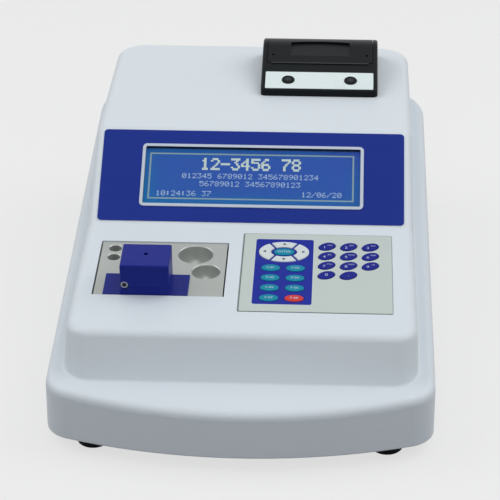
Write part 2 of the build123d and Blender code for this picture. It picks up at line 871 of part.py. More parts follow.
# Display: printed label, raised frame, clear window and the module behind it
with BuildPart() as display_label:
    with BuildSketch(display_plane):
        RectangleRounded(label_width, label_height, label_radius)
        collar = bezel_collar + fit_gap
        RectangleRounded(
            window_width + 2 * collar,
            window_height + 2 * collar,
            window_radius + collar,
            mode=Mode.SUBTRACT,
        )
    extrude(amount=label_thickness)
display_label.part.label = "display_label"
export_step(display_label.part, "parts/display_label.step")

with BuildPart() as display_frame:
    with BuildSketch(display_plane.offset(label_thickness)):
        line = 2 * bezel_line
        RectangleRounded(window_width + line, window_height + line, window_radius + bezel_line)
    extrude(amount=bezel_proud)
    with BuildSketch(display_plane.offset(-display_seat)):
        collar = 2 * bezel_collar
        RectangleRounded(window_width + collar, window_height + collar, window_radius + bezel_collar)
    extrude(amount=display_seat + label_thickness)
    with BuildSketch(display_plane.offset(-display_seat)):
        RectangleRounded(window_width, window_height, window_radius)
    extrude(amount=display_seat + label_thickness + bezel_proud, mode=Mode.SUBTRACT)
display_frame.part.label = "display_frame"
export_step(display_frame.part, "parts/display_frame.step")

with BuildPart() as display_window:
    with BuildSketch(display_plane.offset(-lens_thickness)):
        slack = 2 * pivot_clearance
        RectangleRounded(window_width - slack, window_height - slack, window_radius)
    extrude(amount=lens_thickness)
display_window.part.label = "display_window"
export_step(display_window.part, "parts/display_window.step")

with BuildPart() as module_frame:
    with BuildSketch(display_plane.offset(-module_front)):
        Rectangle(module_frame_width, module_frame_height)
    extrude(amount=-module_depth)
    with BuildSketch(display_plane.offset(-module_front - module_lip)):
        inner_wall = 2 * module_frame_wall
        Rectangle(module_frame_width - inner_wall, module_frame_height - inner_wall)
    extrude(amount=-module_depth, mode=Mode.SUBTRACT)
    with BuildSketch(display_plane):
        Rectangle(window_width, window_height)
    extrude(amount=-module_front - module_depth, mode=Mode.SUBTRACT)
module_frame.part.label = "module_frame"
export_step(module_frame.part, "parts/module_frame.step")

with BuildPart() as lcd_glass:
    with BuildSketch(display_plane.offset(-module_front - module_lip)):
        Rectangle(module_frame_width - glass_margin, module_frame_height - glass_margin)
    extrude(amount=-glass_thickness)
lcd_glass.part.label = "lcd_glass"
export_step(lcd_glass.part, "parts/lcd_glass.step")

with BuildPart() as light_guide:
    with BuildSketch(display_plane.offset(-module_front - module_lip - glass_thickness)):
        Rectangle(module_frame_width - glass_margin, module_frame_height - glass_margin)
    extrude(amount=-light_guide_thickness)
light_guide.part.label = "light_guide"
export_step(light_guide.part, "parts/light_guide.step")

with BuildPart() as display_board:
    with BuildSketch(display_plane.offset(-display_board_front)):
        Rectangle(display_board_width, display_board_height)
        with GridLocations(display_hole_pitch_x, display_hole_pitch_y, 2, 2):
            Circle(board_screw_hole, mode=Mode.SUBTRACT)
    extrude(amount=-board_thickness)
display_board.part.label = "display_board"
export_step(display_board.part, "parts/display_board.step")

# Keypad: every key is its own plunger in an opening of the overlay


def arrow_face(turn, margin):
    """One quarter of the arrow ring, cut by its two leaning split lines and grown by margin."""
    lean = radians(arrow_split_angle)
    setback = (arrow_split / 2 - margin) / sin(lean)
    reach = arrow_ring_width
    with BuildSketch() as face:
        Ellipse(arrow_ring_width / 2 + margin, arrow_ring_height / 2 + margin)
        Ellipse(arrow_hub_width / 2 - margin, arrow_hub_height / 2 - margin, mode=Mode.SUBTRACT)
        if turn in ("left", "right"):
            way = 1 if turn == "right" else -1
            near = way * (arrow_split_place + setback)
            far = near + way * reach
            rise = reach * tan(lean)
            corners = [(near, 0), (far, rise), (far, -rise)]
        else:
            way = 1 if turn == "up" else -1
            near = arrow_split_place - setback
            far = near + reach / tan(lean)
            rise = way * reach
            corners = [(near, 0), (far, rise), (-far, rise), (-near, 0)]
        with BuildLine():
            Polyline(*corners, close=True)
        make_face(mode=Mode.INTERSECT)
    return face.sketch


def oval_face(width, height, tilt, margin):
    """Oval key outline, turned by tilt and grown by margin."""
    with BuildSketch() as face:
        Ellipse(width / 2 + margin, height / 2 + margin, rotation=tilt)
    return face.sketch


def key_outlines(margin):
    """Every key by name: its place on the overlay and its outline, grown by margin."""
    outlines = {
        f"key_{turn}": (key_group_x, arrow_ring_y, arrow_face(turn, margin))
        for turn in ("up", "left", "down", "right")
    }
    centre_key = oval_face(centre_key_width, centre_key_height, 0, margin)
    outlines["key_enter"] = (key_group_x, arrow_ring_y, centre_key)
    for row in range(function_rows):
        for column in range(function_columns):
            x = key_group_x + (column - (function_columns - 1) / 2) * function_pitch_x
            y = function_centre_y - (row - (function_rows - 1) / 2) * function_pitch_y
            name = f"key_function_{row * function_columns + column + 1}"
            function_key = oval_face(function_key_width, function_key_height, 0, margin)
            outlines[name] = (x, y, function_key)
    for count in range(number_key_count):
        row, column = divmod(count, number_columns)
        x = number_centre_x + (column - (number_columns - 1) / 2) * number_pitch_x
        y = number_centre_y - (row - (number_rows - 1) / 2) * number_pitch_y
        number_key = oval_face(number_key_width, number_key_height, number_key_tilt, margin)
        outlines[f"key_number_{count + 1}"] = (x, y, number_key)
    return outlines


with BuildPart() as keypad_label:
    with BuildSketch(keypad_plane):
        RectangleRounded(keypad_width, keypad_length, keypad_radius)
    extrude(amount=-keypad_thickness)
    for x, y, face in key_outlines(key_clearance).values():
        with BuildSketch(plane_at(keypad_plane, x, y, -keypad_thickness - overrun)):
            add(face)
        extrude(amount=keypad_thickness + 2 * overrun, mode=Mode.SUBTRACT)
keypad_label.part.label = "keypad_label"
export_step(keypad_label.part, "parts/keypad_label.step")

for name, (x, y, face) in key_outlines(0).items():
    with BuildPart() as key:
        with BuildSketch(plane_at(keypad_plane, x, y, -key_foot)):
            add(face)
        extrude(amount=key_height)
        top = key.faces().filter_by(keypad_plane).sort_by(Axis.Z)[-1]
        chamfer(top.edges(), length=key_edge)
    key.part.label = name
    export_step(key.part, f"parts/{name}.step")

with BuildPart() as keypad_board:
    with BuildSketch(keypad_plane.offset(-keypad_board_front)):
        Rectangle(keypad_width, keypad_length)
        with GridLocations(keypad_hole_pitch_x, keypad_hole_pitch_y, 2, 2):
            Circle(board_screw_hole, mode=Mode.SUBTRACT)
    extrude(amount=-board_thickness)
keypad_board.part.label = "keypad_board"
export_step(keypad_board.part, "parts/keypad_board.step")

# Heated block: its top, with round-bottomed reagent wells and bored cuvette wells, shows in the deck
with BuildPart() as heated_block:
    with BuildSketch(block_plane):
        Rectangle(block_width, block_length)
    extrude(amount=-block_height)
    for radius, straight, x, y in (
        (large_well_radius, large_well_straight, large_well_x, large_well_y),
        (small_well_radius, small_well_straight, small_well_x, small_well_y),
    ):
        well_place = block_plane.from_local_coords((x, y, 0))
        well_plane = Plane(origin=well_place, x_dir=block_plane.x_dir, z_dir=-block_plane.y_dir)
        with BuildSketch(well_plane):
            with BuildLine():
                Polyline((0, -straight - radius), (0, overrun), (radius, overrun), (radius, -straight))
                CenterArc((0, -straight), radius, 270, 90)
            make_face()
        revolve(axis=Axis(well_place, block_plane.z_dir), mode=Mode.SUBTRACT)
    with BuildSketch(block_plane):
        with Locations(*cuvette_places, (measuring_well_x, measuring_well_block_y)):
            Circle(cuvette_radius)
    extrude(amount=-cuvette_depth, mode=Mode.SUBTRACT)
    top = heated_block.faces().filter_by(block_plane).sort_by(Axis.Z)[-1]
    rims = [edge for wire in top.inner_wires() for edge in wire.edges()]
    chamfer(rims, length=well_chamfer)
    with BuildSketch(beam_plane.offset(-block_width)):
        Circle(lamp_radius + screw_hole_gap)
    extrude(amount=2 * block_width, mode=Mode.SUBTRACT)
heated_block.part.label = "heated_block"
export_step(heated_block.part, "parts/heated_block.step")

with BuildPart() as heater_mat:
    with BuildSketch(block_floor_plane):
        Rectangle(heater_width, heater_length)
    extrude(amount=-heater_thickness)
heater_mat.part.label = "heater_mat"
export_step(heater_mat.part, "parts/heater_mat.step")

# Four posts carry the block from the base plate, each cut to the slope of its underside
with BuildPart() as block_posts:
    for side in (-1, 1):
        for end in (-1, 1):
            across_place = side * (block_width / 2 - post_inset)
            along_place = end * (block_length / 2 - post_inset)
            foot = block_floor_plane.from_local_coords((across_place, along_place, 0))
            with BuildSketch(Plane.XY.offset(plate_top)):
                with Locations((foot.X, foot.Y)):
                    Circle(post_radius)
    extrude(amount=rear_deck_height)
    split(bisect_by=block_floor_plane, keep=Keep.BOTTOM)
block_posts.part.label = "block_posts"
export_step(block_posts.part, "parts/block_posts.step")

# Lamp and sensor look at the measuring well from both sides
for name, way in (("beam_lamp", -1), ("beam_sensor", 1)):
    face_place = way * (cuvette_radius + lamp_setback)
    with BuildPart() as sensor:
        with BuildSketch(beam_plane.offset(face_place)):
            Circle(lamp_radius)
        extrude(amount=way * lamp_length)
        nose = sensor.edges().sort_by(Axis.X)[0 if way > 0 else -1]
        fillet(nose, radius=lamp_radius * nose_round_share)
    sensor.part.label = name
    export_step(sensor.part, f"parts/{name}.step")

# Measuring head: a winged base on the block, and the hinged cover that keeps light out
with BuildPart() as head_base:
    with BuildSketch(head_plane):
        with Locations((0, (wing_depth - head_depth) / 2)):
            Rectangle(wing_width, wing_depth)
    extrude(amount=wing_height)
    with BuildSketch(head_plane):
        Rectangle(shield_width, head_depth)
    extrude(amount=split_height)
    with BuildSketch(pin_plane.offset(-head_depth / 2 - overrun)):
        Circle(relief_radius)
        with BuildLine():
            Polyline(
                (-pin_inset - overrun, -relief_radius),
                (0, -relief_radius),
                (0, relief_radius),
                (-pin_inset - overrun, relief_radius),
                close=True,
            )
        make_face()
    extrude(amount=head_depth + 2 * overrun, mode=Mode.SUBTRACT)
    with BuildSketch(pin_plane.offset(-lug_length / 2)):
        Circle(lug_radius)
        with Locations((0, -relief_radius / 2)):
            Rectangle(lug_width, relief_radius + lug_radius)
    extrude(amount=lug_length)
    with BuildSketch(pin_plane.offset(-head_depth / 2)):
        Circle(pin_radius)
    extrude(amount=head_depth, mode=Mode.SUBTRACT)
    with BuildSketch(head_plane):
        with Locations((0, measuring_well_y)):
            Circle(cuvette_radius + measuring_clearance)
    extrude(amount=split_height, mode=Mode.SUBTRACT)
head_base.part.label = "head_base"
export_step(head_base.part, "parts/head_base.step")

cover_floor = split_height + split_gap
with BuildPart() as light_shield:
    with BuildSketch(head_plane.offset(cover_floor)):
        RectangleRounded(shield_width, head_depth, shield_edge)
    extrude(amount=shield_top - cover_floor)
    roof = light_shield.faces().filter_by(head_plane).sort_by(Axis.Z)[-1]
    fillet(roof.edges(), radius=shield_roof_radius)
    with BuildSketch(head_plane.offset(cover_floor)):
        Rectangle(shield_width - 2 * shield_wall, head_depth - 2 * shield_wall)
    extrude(amount=shield_top - shield_wall - cover_floor, mode=Mode.SUBTRACT)
    for start in (-head_depth / 2, head_depth / 2 - knuckle_length):
        with BuildSketch(pin_plane.offset(start)):
            Circle(knuckle_radius)
        extrude(amount=knuckle_length)
    with BuildSketch(pin_plane.offset(-lug_length / 2 - lug_gap)):
        Circle(lug_radius + lug_gap)
        with BuildLine():
            Polyline(
                (-pin_inset - overrun, -relief_radius),
                (0, -relief_radius),
                (0, lug_radius + lug_gap),
                (-pin_inset - overrun, lug_radius + lug_gap),
                close=True,
            )
        make_face()
    extrude(amount=lug_length + 2 * lug_gap, mode=Mode.SUBTRACT)
    with BuildSketch(pin_plane.offset(-head_depth / 2 - overrun)):
        Circle(pin_radius + pivot_clearance)
    extrude(amount=head_depth + 2 * overrun, mode=Mode.SUBTRACT)
    with BuildSketch(pin_plane.offset(head_depth / 2 - pin_head_thickness - pin_head_sink - fit_gap)):
        Circle(pin_head_radius + pin_head_clearance)
    extrude(amount=overrun, mode=Mode.SUBTRACT)
    with BuildSketch(head_plane.offset(shield_top)):
        with Locations((0, measuring_well_y)):
            Circle(shield_hole_radius)
    extrude(amount=-shield_wall - overrun, mode=Mode.SUBTRACT)
light_shield.part.label = "light_shield"
export_step(light_shield.part, "parts/light_shield.step")

with BuildPart() as shield_pin:
    with BuildSketch(pin_plane.offset(head_depth / 2 - pin_head_sink)):
        Circle(pin_head_radius)
    extrude(amount=-pin_head_thickness)
    with BuildSketch(pin_plane.offset(head_depth / 2 - pin_head_sink)):
        Circle(pin_radius)
    extrude(amount=pin_head_sink + pin_end_gap - head_depth)
    with BuildSketch(pin_plane.offset(head_depth / 2 - pin_head_sink)):
        RegularPolygon(pin_socket_radius, 6)
    extrude(amount=-pin_socket_depth, mode=Mode.SUBTRACT)
shield_pin.part.label = "shield_pin"
export_step(shield_pin.part, "parts/shield_pin.step")

# Printer: a drop-in frame with its printed strip, two buttons, a hinged cover and the paper path


def printer_outline(inset, bottom):
    """Side outline of the printer: upright front, sloping panel, then the cover's round back."""
    slope = radians(printer_slope)
    crown = door_crown_radius - inset
    front = printer_front_y + inset
    top = rear_deck_height + bezel_height + inset * tan(slope) - inset / cos(slope)
    middle = (radians(90) - slope) / 2
    with BuildSketch() as outline:
        with BuildLine():
            tangent = (crown_y - crown * sin(slope), crown_z + crown * cos(slope))
            rear = (crown_y + sqrt(crown**2 - (bottom - crown_z) ** 2), bottom)
            Polyline(rear, (front, bottom), (front, top), tangent)
            ThreePointArc(tangent, (crown_y + crown * sin(middle), crown_z + crown * cos(middle)), rear)
        make_face()
    return outline.sketch


slot_root = slope_plane.from_local_coords((0, slot_place, -panel_thickness - fit_gap))
slot_above = slope_plane.from_local_coords((0, slot_place, overrun))
door_root = slope_plane.from_local_coords((0, slot_place + slot_width, -door_thickness - overrun))
door_above = slope_plane.from_local_coords((0, slot_place + slot_width, overrun))
printer_rear = crown_y + door_crown_radius + overrun
printer_top = crown_z + door_crown_radius + overrun

with BuildPart() as printer_frame:
    with BuildSketch(Plane.YZ.offset(printer_x - printer_width / 2)):
        add(printer_outline(0, rear_deck_height))
    extrude(amount=printer_width)
    uprights = printer_frame.edges().filter_by(Axis.Z).group_by(Axis.Y)[0]
    fillet(uprights, radius=frame_corner_radius)
    lip = printer_frame.faces().filter_by(slope_plane).sort_by(Axis.Z)[-1].edges().sort_by(Axis.Y)
    fillet([lip[0], lip[1], lip[2]], radius=front_edge_radius)
    with BuildSketch(Plane.YZ.offset(printer_x - bay_width / 2)):
        add(printer_outline(panel_thickness, rear_deck_height))
    extrude(amount=bay_width, mode=Mode.SUBTRACT)
    with BuildSketch(Plane.YZ.offset(printer_x - bay_width / 2)):
        with BuildLine():
            Polyline(
                (slot_above.Y, slot_above.Z),
                (slot_root.Y, slot_root.Z),
                (slot_root.Y, rim_z),
                (printer_rear, rim_z),
                (printer_rear, printer_top),
                (slot_above.Y, printer_top),
                close=True,
            )
        make_face()
    extrude(amount=bay_width, mode=Mode.SUBTRACT)
    flange_width = bay_width + cheek_thickness
    flange_length = crown_setback + door_crown_radius - 2 * panel_thickness
    with BuildSketch(Plane.XY.offset(rear_deck_height)):
        with Locations((printer_x, (printer_front_y + crown_y + door_crown_radius) / 2)):
            Rectangle(flange_width, flange_length)
    extrude(amount=flange_thickness)
    with BuildSketch(Plane.XY.offset(rear_deck_height)):
        with Locations((printer_x, tub_front_y + tub_length / 2)):
            Rectangle(tub_width, tub_length)
    extrude(amount=-tub_depth)
    with BuildSketch(Plane.XY.offset(tub_floor_z + saddle_height)):
        with Locations((printer_x, tub_front_y + tub_length / 2)):
            Rectangle(tub_width - 2 * tub_wall, tub_length - 2 * tub_wall)
    extrude(amount=tub_depth - tub_wall - saddle_height + flange_thickness, mode=Mode.SUBTRACT)
    with BuildSketch(Plane.YZ.offset(printer_x - roll_width / 2 - roll_side_gap)):
        with Locations((roll_y, roll_z)):
            Circle(roll_radius + roll_gap)
    extrude(amount=roll_width + 2 * roll_side_gap, mode=Mode.SUBTRACT)
    with BuildSketch(Plane.YZ.offset(printer_x - door_width / 2 - door_pin_length - fit_gap)):
        with Locations((hinge_y, hinge_z)):
            Circle(door_pin_radius + pivot_clearance)
    extrude(amount=door_width + 2 * (door_pin_length + fit_gap), mode=Mode.SUBTRACT)
    with BuildSketch(slope_plane.offset(-panel_thickness - fit_gap)):
        with Locations((0, button_place)):
            with GridLocations(button_spacing, 0, 2, 1):
                Circle(button_radius + button_gap)
    extrude(amount=panel_thickness + 2 * fit_gap, mode=Mode.SUBTRACT)
    with BuildSketch(slope_plane):
        with Locations((0, slot_place - ridge_depth / 2)):
            Rectangle(ridge_width, ridge_depth)
    extrude(amount=ridge_height)
printer_frame.part.label = "printer_frame"
export_step(printer_frame.part, "parts/printer_frame.step")

with BuildPart() as printer_strip:
    with BuildSketch(slope_plane):
        with Locations((0, strip_margin + strip_length / 2)):
            RectangleRounded(strip_width, strip_length, strip_radius)
        with Locations((0, button_place)):
            with GridLocations(button_spacing, 0, 2, 1):
                Circle(button_radius + button_gap, mode=Mode.SUBTRACT)
    extrude(amount=strip_thickness)
printer_strip.part.label = "printer_strip"
export_step(printer_strip.part, "parts/printer_strip.step")

for name, side in (("feed_button", -1), ("select_button", 1)):
    button_plane = plane_at(slope_plane, side * button_spacing / 2, button_place, 0)
    button_foot = -panel_thickness - button_flange_gap - button_flange_height
    with BuildPart() as button:
        with BuildSketch(button_plane.offset(button_foot)):
            Circle(button_radius)
        extrude(amount=strip_thickness + button_proud - button_foot)
        with BuildSketch(button_plane.offset(button_foot)):
            Circle(button_radius + button_flange)
        extrude(amount=button_flange_height)
        with BuildSketch(button_plane.offset(strip_thickness + button_proud)):
            Circle(button_core_radius)
        extrude(amount=button_core_rise)
    button.part.label = name
    export_step(button.part, f"parts/{name}.step")

# Thumb recess of the cover: its floor falls to an arched rear wall
grip_end = grip_start + grip_length
with BuildPart() as grip:
    with BuildSketch(slope_plane):
        with BuildLine():
            Polyline(
                (-grip_width / 2, grip_end),
                (-grip_width / 2, grip_start),
                (grip_width / 2, grip_start),
                (grip_width / 2, grip_end),
            )
            ThreePointArc(
                (grip_width / 2, grip_end),
                (0, grip_end + grip_arch),
                (-grip_width / 2, grip_end),
            )
        make_face()
    extrude(amount=grip_depth, both=True)
    with BuildSketch(side_plane(slope_plane, -grip_width / 2)):
        with BuildLine():
            Polyline(
                (grip_start, 0),
                (grip_end + grip_arch, -grip_depth),
                (grip_end + grip_arch, grip_depth),
                (grip_start, grip_depth),
                close=True,
            )
        make_face()
    extrude(amount=grip_width, mode=Mode.INTERSECT)

with BuildPart() as printer_door:
    with BuildSketch(Plane.YZ.offset(printer_x - door_width / 2)):
        add(printer_outline(0, rear_deck_height))
        add(printer_outline(door_thickness, rear_deck_height), mode=Mode.SUBTRACT)
        shell_rise = door_crown_radius / (door_crown_radius - door_barrel_radius)
        shell_end = crown_z + (hinge_z - crown_z) * shell_rise
        with BuildLine():
            Polyline(
                (door_above.Y, door_above.Z),
                (door_root.Y, door_root.Z),
                (crown_y, shell_end),
                (printer_rear, shell_end),
                (printer_rear, printer_top),
                (door_above.Y, printer_top),
                close=True,
            )
        make_face(mode=Mode.INTERSECT)
        with Locations((hinge_y, hinge_z)):
            Circle(door_barrel_radius)
    extrude(amount=door_width)
    with BuildSketch(Plane.YZ.offset(printer_x - door_width / 2 - door_pin_length)):
        with Locations((hinge_y, hinge_z)):
            Circle(door_pin_radius)
    extrude(amount=door_width + 2 * door_pin_length)
    ear_radius = platen_shaft_radius + platen_ear_margin
    for start in (-ear_end, ear_start):
        ear_plane = side_plane(slope_plane, start)
        with BuildSketch(ear_plane):
            with Locations((slot_place + platen_behind_slot, -platen_drop)):
                Circle(ear_radius)
            with Locations((slot_place + platen_behind_slot, -(platen_drop + door_thickness) / 2)):
                Rectangle(2 * ear_radius, platen_drop - door_thickness + ridge_height)
            with Locations((slot_place + platen_behind_slot, -platen_drop)):
                Circle(platen_shaft_radius + pivot_clearance, mode=Mode.SUBTRACT)
        extrude(amount=platen_ear_thickness)
    add(grip.part, mode=Mode.SUBTRACT)
    with BuildSketch(slope_plane):
        with Locations((0, dimple_place)):
            with GridLocations(dimple_spacing, 0, 2, 1):
                Circle(dimple_radius)
    extrude(amount=-dimple_depth, mode=Mode.SUBTRACT)
printer_door.part.label = "printer_door"
export_step(printer_door.part, "parts/printer_door.step")

with BuildPart() as platen_roller:
    with BuildSketch(Plane.YZ.offset(printer_x - platen_length / 2)):
        with Locations((platen_place.Y, platen_place.Z)):
            Circle(platen_radius)
    extrude(amount=platen_length)
    with BuildSketch(Plane.YZ.offset(printer_x - ear_end)):
        with Locations((platen_place.Y, platen_place.Z)):
            Circle(platen_shaft_radius)
    extrude(amount=2 * ear_end)
platen_roller.part.label = "platen_roller"
export_step(platen_roller.part, "parts/platen_roller.step")

with BuildPart() as paper_roll:
    with BuildSketch(Plane.YZ.offset(printer_x - roll_width / 2)):
        with Locations((roll_y, roll_z)):
            Circle(roll_radius)
            Circle(roll_bore_radius, mode=Mode.SUBTRACT)
    extrude(amount=roll_width)
paper_roll.part.label = "paper_roll"
export_step(paper_roll.part, "parts/paper_roll.step")

head_rear_y = platen_place.Y - platen_radius - fit_gap
head_front_y = tub_front_y + tub_wall + head_unit_gap
with BuildPart() as print_head:
    with BuildSketch(Plane.XY.offset(tub_floor_z + saddle_height)):
        with Locations((printer_x, (head_front_y + head_rear_y - head_plate_thickness) / 2)):
            Rectangle(head_unit_width, head_rear_y - head_plate_thickness - head_front_y)
    extrude(amount=head_unit_height)
    with BuildSketch(Plane.XY.offset(tub_floor_z + saddle_height)):
        with Locations((printer_x, head_rear_y - head_plate_thickness / 2)):
            Rectangle(platen_length, head_plate_thickness)
    extrude(amount=head_unit_height + head_plate_rise)
print_head.part.label = "print_head"
export_step(print_head.part, "parts/print_head.step")

# Rear fittings: mains inlet, rocker switch and data port
with BuildPart() as power_inlet:
    with BuildSketch(rear_floor_plane):
        with Locations((inlet_x, 0)):
            RectangleRounded(inlet_flange_width, inlet_flange_height, inlet_flange_radius)
    extrude(amount=-inlet_flange_thickness)
    with BuildSketch(rear_floor_plane):
        with Locations((inlet_x, 0)):
            Rectangle(inlet_body_width, inlet_body_height)
    extrude(amount=inlet_body_depth)
    with BuildSketch(rear_floor_plane.offset(-inlet_flange_thickness)) as socket:
        with Locations((inlet_x, 0)):
            Rectangle(inlet_socket_width, inlet_socket_height)
        chamfer(socket.vertices().group_by(Axis.Y)[-1], length=inlet_socket_chamfer)
    extrude(amount=inlet_socket_depth, mode=Mode.SUBTRACT)
    blade_foot = inlet_socket_depth - inlet_flange_thickness
    with BuildSketch(rear_floor_plane.offset(blade_foot)):
        with Locations((inlet_x - inlet_blade_pitch, 0), (inlet_x + inlet_blade_pitch, 0)):
            Rectangle(inlet_blade_width, inlet_blade_height)
        with Locations((inlet_x, inlet_earth_rise)):
            Rectangle(inlet_blade_width, inlet_blade_height)
    extrude(amount=-inlet_blade_length)
power_inlet.part.label = "power_inlet"
export_step(power_inlet.part, "parts/power_inlet.step")

with BuildPart() as switch_frame:
    with BuildSketch(rear_floor_plane):
        with Locations((switch_x, 0)):
            RectangleRounded(switch_flange_width, switch_flange_height, switch_flange_radius)
    extrude(amount=-switch_flange_thickness)
    with BuildSketch(rear_floor_plane):
        with Locations((switch_x, 0)):
            Rectangle(switch_body_width, switch_body_height)
    extrude(amount=switch_body_depth)
    with BuildSketch(rear_floor_plane.offset(-switch_flange_thickness)):
        with Locations((switch_x, 0)):
            Rectangle(rocker_width + 2 * rocker_side_gap, 2 * (rocker_half_height + rocker_end_gap))
    extrude(amount=rocker_cavity_depth + switch_flange_thickness, mode=Mode.SUBTRACT)
    pin_reach = rocker_width / 2 + rocker_pin_length + fit_gap
    with BuildSketch(Plane.YZ.offset(switch_x - pin_reach)):
        with Locations((rocker_y, rear_panel_middle)):
            Circle(rocker_pin_radius + pivot_clearance)
    extrude(amount=2 * pin_reach, mode=Mode.SUBTRACT)
switch_frame.part.label = "switch_frame"
export_step(switch_frame.part, "parts/switch_frame.step")

with BuildPart() as power_rocker:
    with BuildSketch(Plane.YZ.offset(switch_x - rocker_width / 2)):
        with Locations(Location((rocker_y, rear_panel_middle, 0), (0, 0, -rocker_tilt))):
            Polygon(
                (-rocker_back, -rocker_half_height),
                (rocker_rise, -rocker_half_height),
                (rocker_rise - rocker_dip, 0),
                (rocker_rise, rocker_half_height),
                (-rocker_back, rocker_half_height),
                align=None,
            )
    extrude(amount=rocker_width)
    with BuildSketch(Plane.YZ.offset(switch_x - rocker_width / 2 - rocker_pin_length)):
        with Locations((rocker_y, rear_panel_middle)):
            Circle(rocker_pin_radius)
    extrude(amount=rocker_width + 2 * rocker_pin_length)
power_rocker.part.label = "power_rocker"
export_step(power_rocker.part, "parts/power_rocker.step")

with BuildPart() as data_port:
    with BuildSketch(rear_inner_plane):
        with Locations((port_x, 0)):
            Rectangle(port_flange_width, port_flange_height)
    extrude(amount=port_flange_thickness)
    with BuildSketch(rear_inner_plane):
        with Locations((port_x, 0)):
            RectangleRounded(port_shell_width, port_shell_height, port_shell_radius)
    extrude(amount=-port_shell_length)
    with BuildSketch(rear_inner_plane.offset(port_flange_thickness)):
        with Locations((port_x, 0)):
            Rectangle(port_shell_width, port_shell_height)
    extrude(amount=port_body_depth)
    with BuildSketch(rear_inner_plane.offset(-port_shell_length)):
        for row, count in enumerate(port_row_counts):
            row_y = ((len(port_row_counts) - 1) / 2 - row) * port_row_spacing
            with Locations((port_x, row_y)):
                with GridLocations(port_hole_pitch, 0, count, 1):
                    Circle(port_hole_radius)
    extrude(amount=port_hole_depth, mode=Mode.SUBTRACT)
data_port.part.label = "data_port"
export_step(data_port.part, "parts/data_port.step")

# Main board with its larger components, and the closed power supply
with BuildPart() as main_board:
    with BuildSketch(main_board_plane):
        Rectangle(main_board_width, main_board_length)
        with GridLocations(main_hole_pitch_x, main_hole_pitch_y, 2, 2):
            Circle(board_screw_hole, mode=Mode.SUBTRACT)
    extrude(amount=board_thickness)
    with BuildSketch(main_board_plane.offset(board_thickness)):
        Rectangle(processor_size, processor_size)
    extrude(amount=processor_height)
    with BuildSketch(main_board_plane.offset(board_thickness)):
        header_y = main_board_length / 2 - header_depth
        with Locations((0, header_y), (0, -header_y)):
            Rectangle(header_width, header_depth)
    extrude(amount=header_height)
    with BuildSketch(main_board_plane.offset(board_thickness)):
        with Locations((-main_board_width / 2 + 2 * capacitor_radius, 0)):
            with GridLocations(0, capacitor_pitch, 1, capacitor_count):
                Circle(capacitor_radius)
    extrude(amount=capacitor_height)
main_board.part.label = "main_board"
export_step(main_board.part, "parts/main_board.step")

with BuildPart() as power_supply:
    with BuildSketch(supply_plane):
        Rectangle(supply_width, supply_length)
        with GridLocations(supply_hole_pitch_x, supply_hole_pitch_y, 2, 2):
            Circle(board_screw_hole, mode=Mode.SUBTRACT)
    extrude(amount=supply_ear_thickness)
    with BuildSketch(supply_plane):
        RectangleRounded(supply_width, supply_length - 2 * supply_ear_length, supply_edge)
    extrude(amount=supply_height)
    with BuildSketch(supply_plane.offset(supply_height)):
        with GridLocations(supply_slot_pitch, 0, supply_slot_count, 1):
            Rectangle(supply_slot_width, supply_slot_length)
    extrude(amount=-supply_slot_depth, mode=Mode.SUBTRACT)
power_supply.part.label = "power_supply"
export_step(power_supply.part, "parts/power_supply.step")
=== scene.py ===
"""Dresses the bench coagulation analyzer: its finishes, printed marks, lit display and stage.

The solids come from the frame. This file gives each of them its surface, adds the thin printed
and lit pieces that lie on them, and sets up the stage, the lamps and the camera. Lengths are in
metres, in the frame's own axes: +X to the instrument's right, +Y to its rear, +Z up.
"""
import math

import bpy
import numpy as np
from bpy.props import FloatProperty, FloatVectorProperty, PointerProperty
from mathutils import Matrix, Vector


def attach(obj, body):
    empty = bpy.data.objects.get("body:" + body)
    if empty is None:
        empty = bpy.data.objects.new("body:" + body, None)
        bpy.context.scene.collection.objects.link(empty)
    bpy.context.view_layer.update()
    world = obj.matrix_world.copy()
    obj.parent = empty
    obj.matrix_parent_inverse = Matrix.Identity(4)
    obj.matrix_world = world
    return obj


bl_info = {
    "name": "Bench Coagulation Analyzer",
    "version": (1, 0, 0),
    "blender": (4, 5, 0),
    "location": "3D View > Sidebar > Analyzer",
    "description": "Surfaces, printed marks and stage of a bench coagulation analyzer",
    "category": "Object",
}

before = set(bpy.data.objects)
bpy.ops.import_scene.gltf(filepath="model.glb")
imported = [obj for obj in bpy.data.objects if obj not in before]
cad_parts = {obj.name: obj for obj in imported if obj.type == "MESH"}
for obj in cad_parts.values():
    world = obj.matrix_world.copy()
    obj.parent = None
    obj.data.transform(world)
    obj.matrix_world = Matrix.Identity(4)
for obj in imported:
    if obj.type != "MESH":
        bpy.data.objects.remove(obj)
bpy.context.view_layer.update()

MM = 0.001
BASE = "base"
BLACK = (0.0, 0.0, 0.0)

# Faces that carry the marks: a point on each and its slope, leaning back from the front
DECK_FOLD = Vector((0.0, -28.9736 * MM, 76.2249 * MM))
DECK_SLOPE = math.radians(4.5)
DISPLAY_MIDDLE = Vector((0.0, 1.6379 * MM, 96.1043 * MM))
DISPLAY_SLOPE = math.radians(33.0)
PRINTER_CORNER = Vector((40.0 * MM, 87.4994 * MM, 120.6836 * MM))
PRINTER_SLOPE = math.radians(16.0)

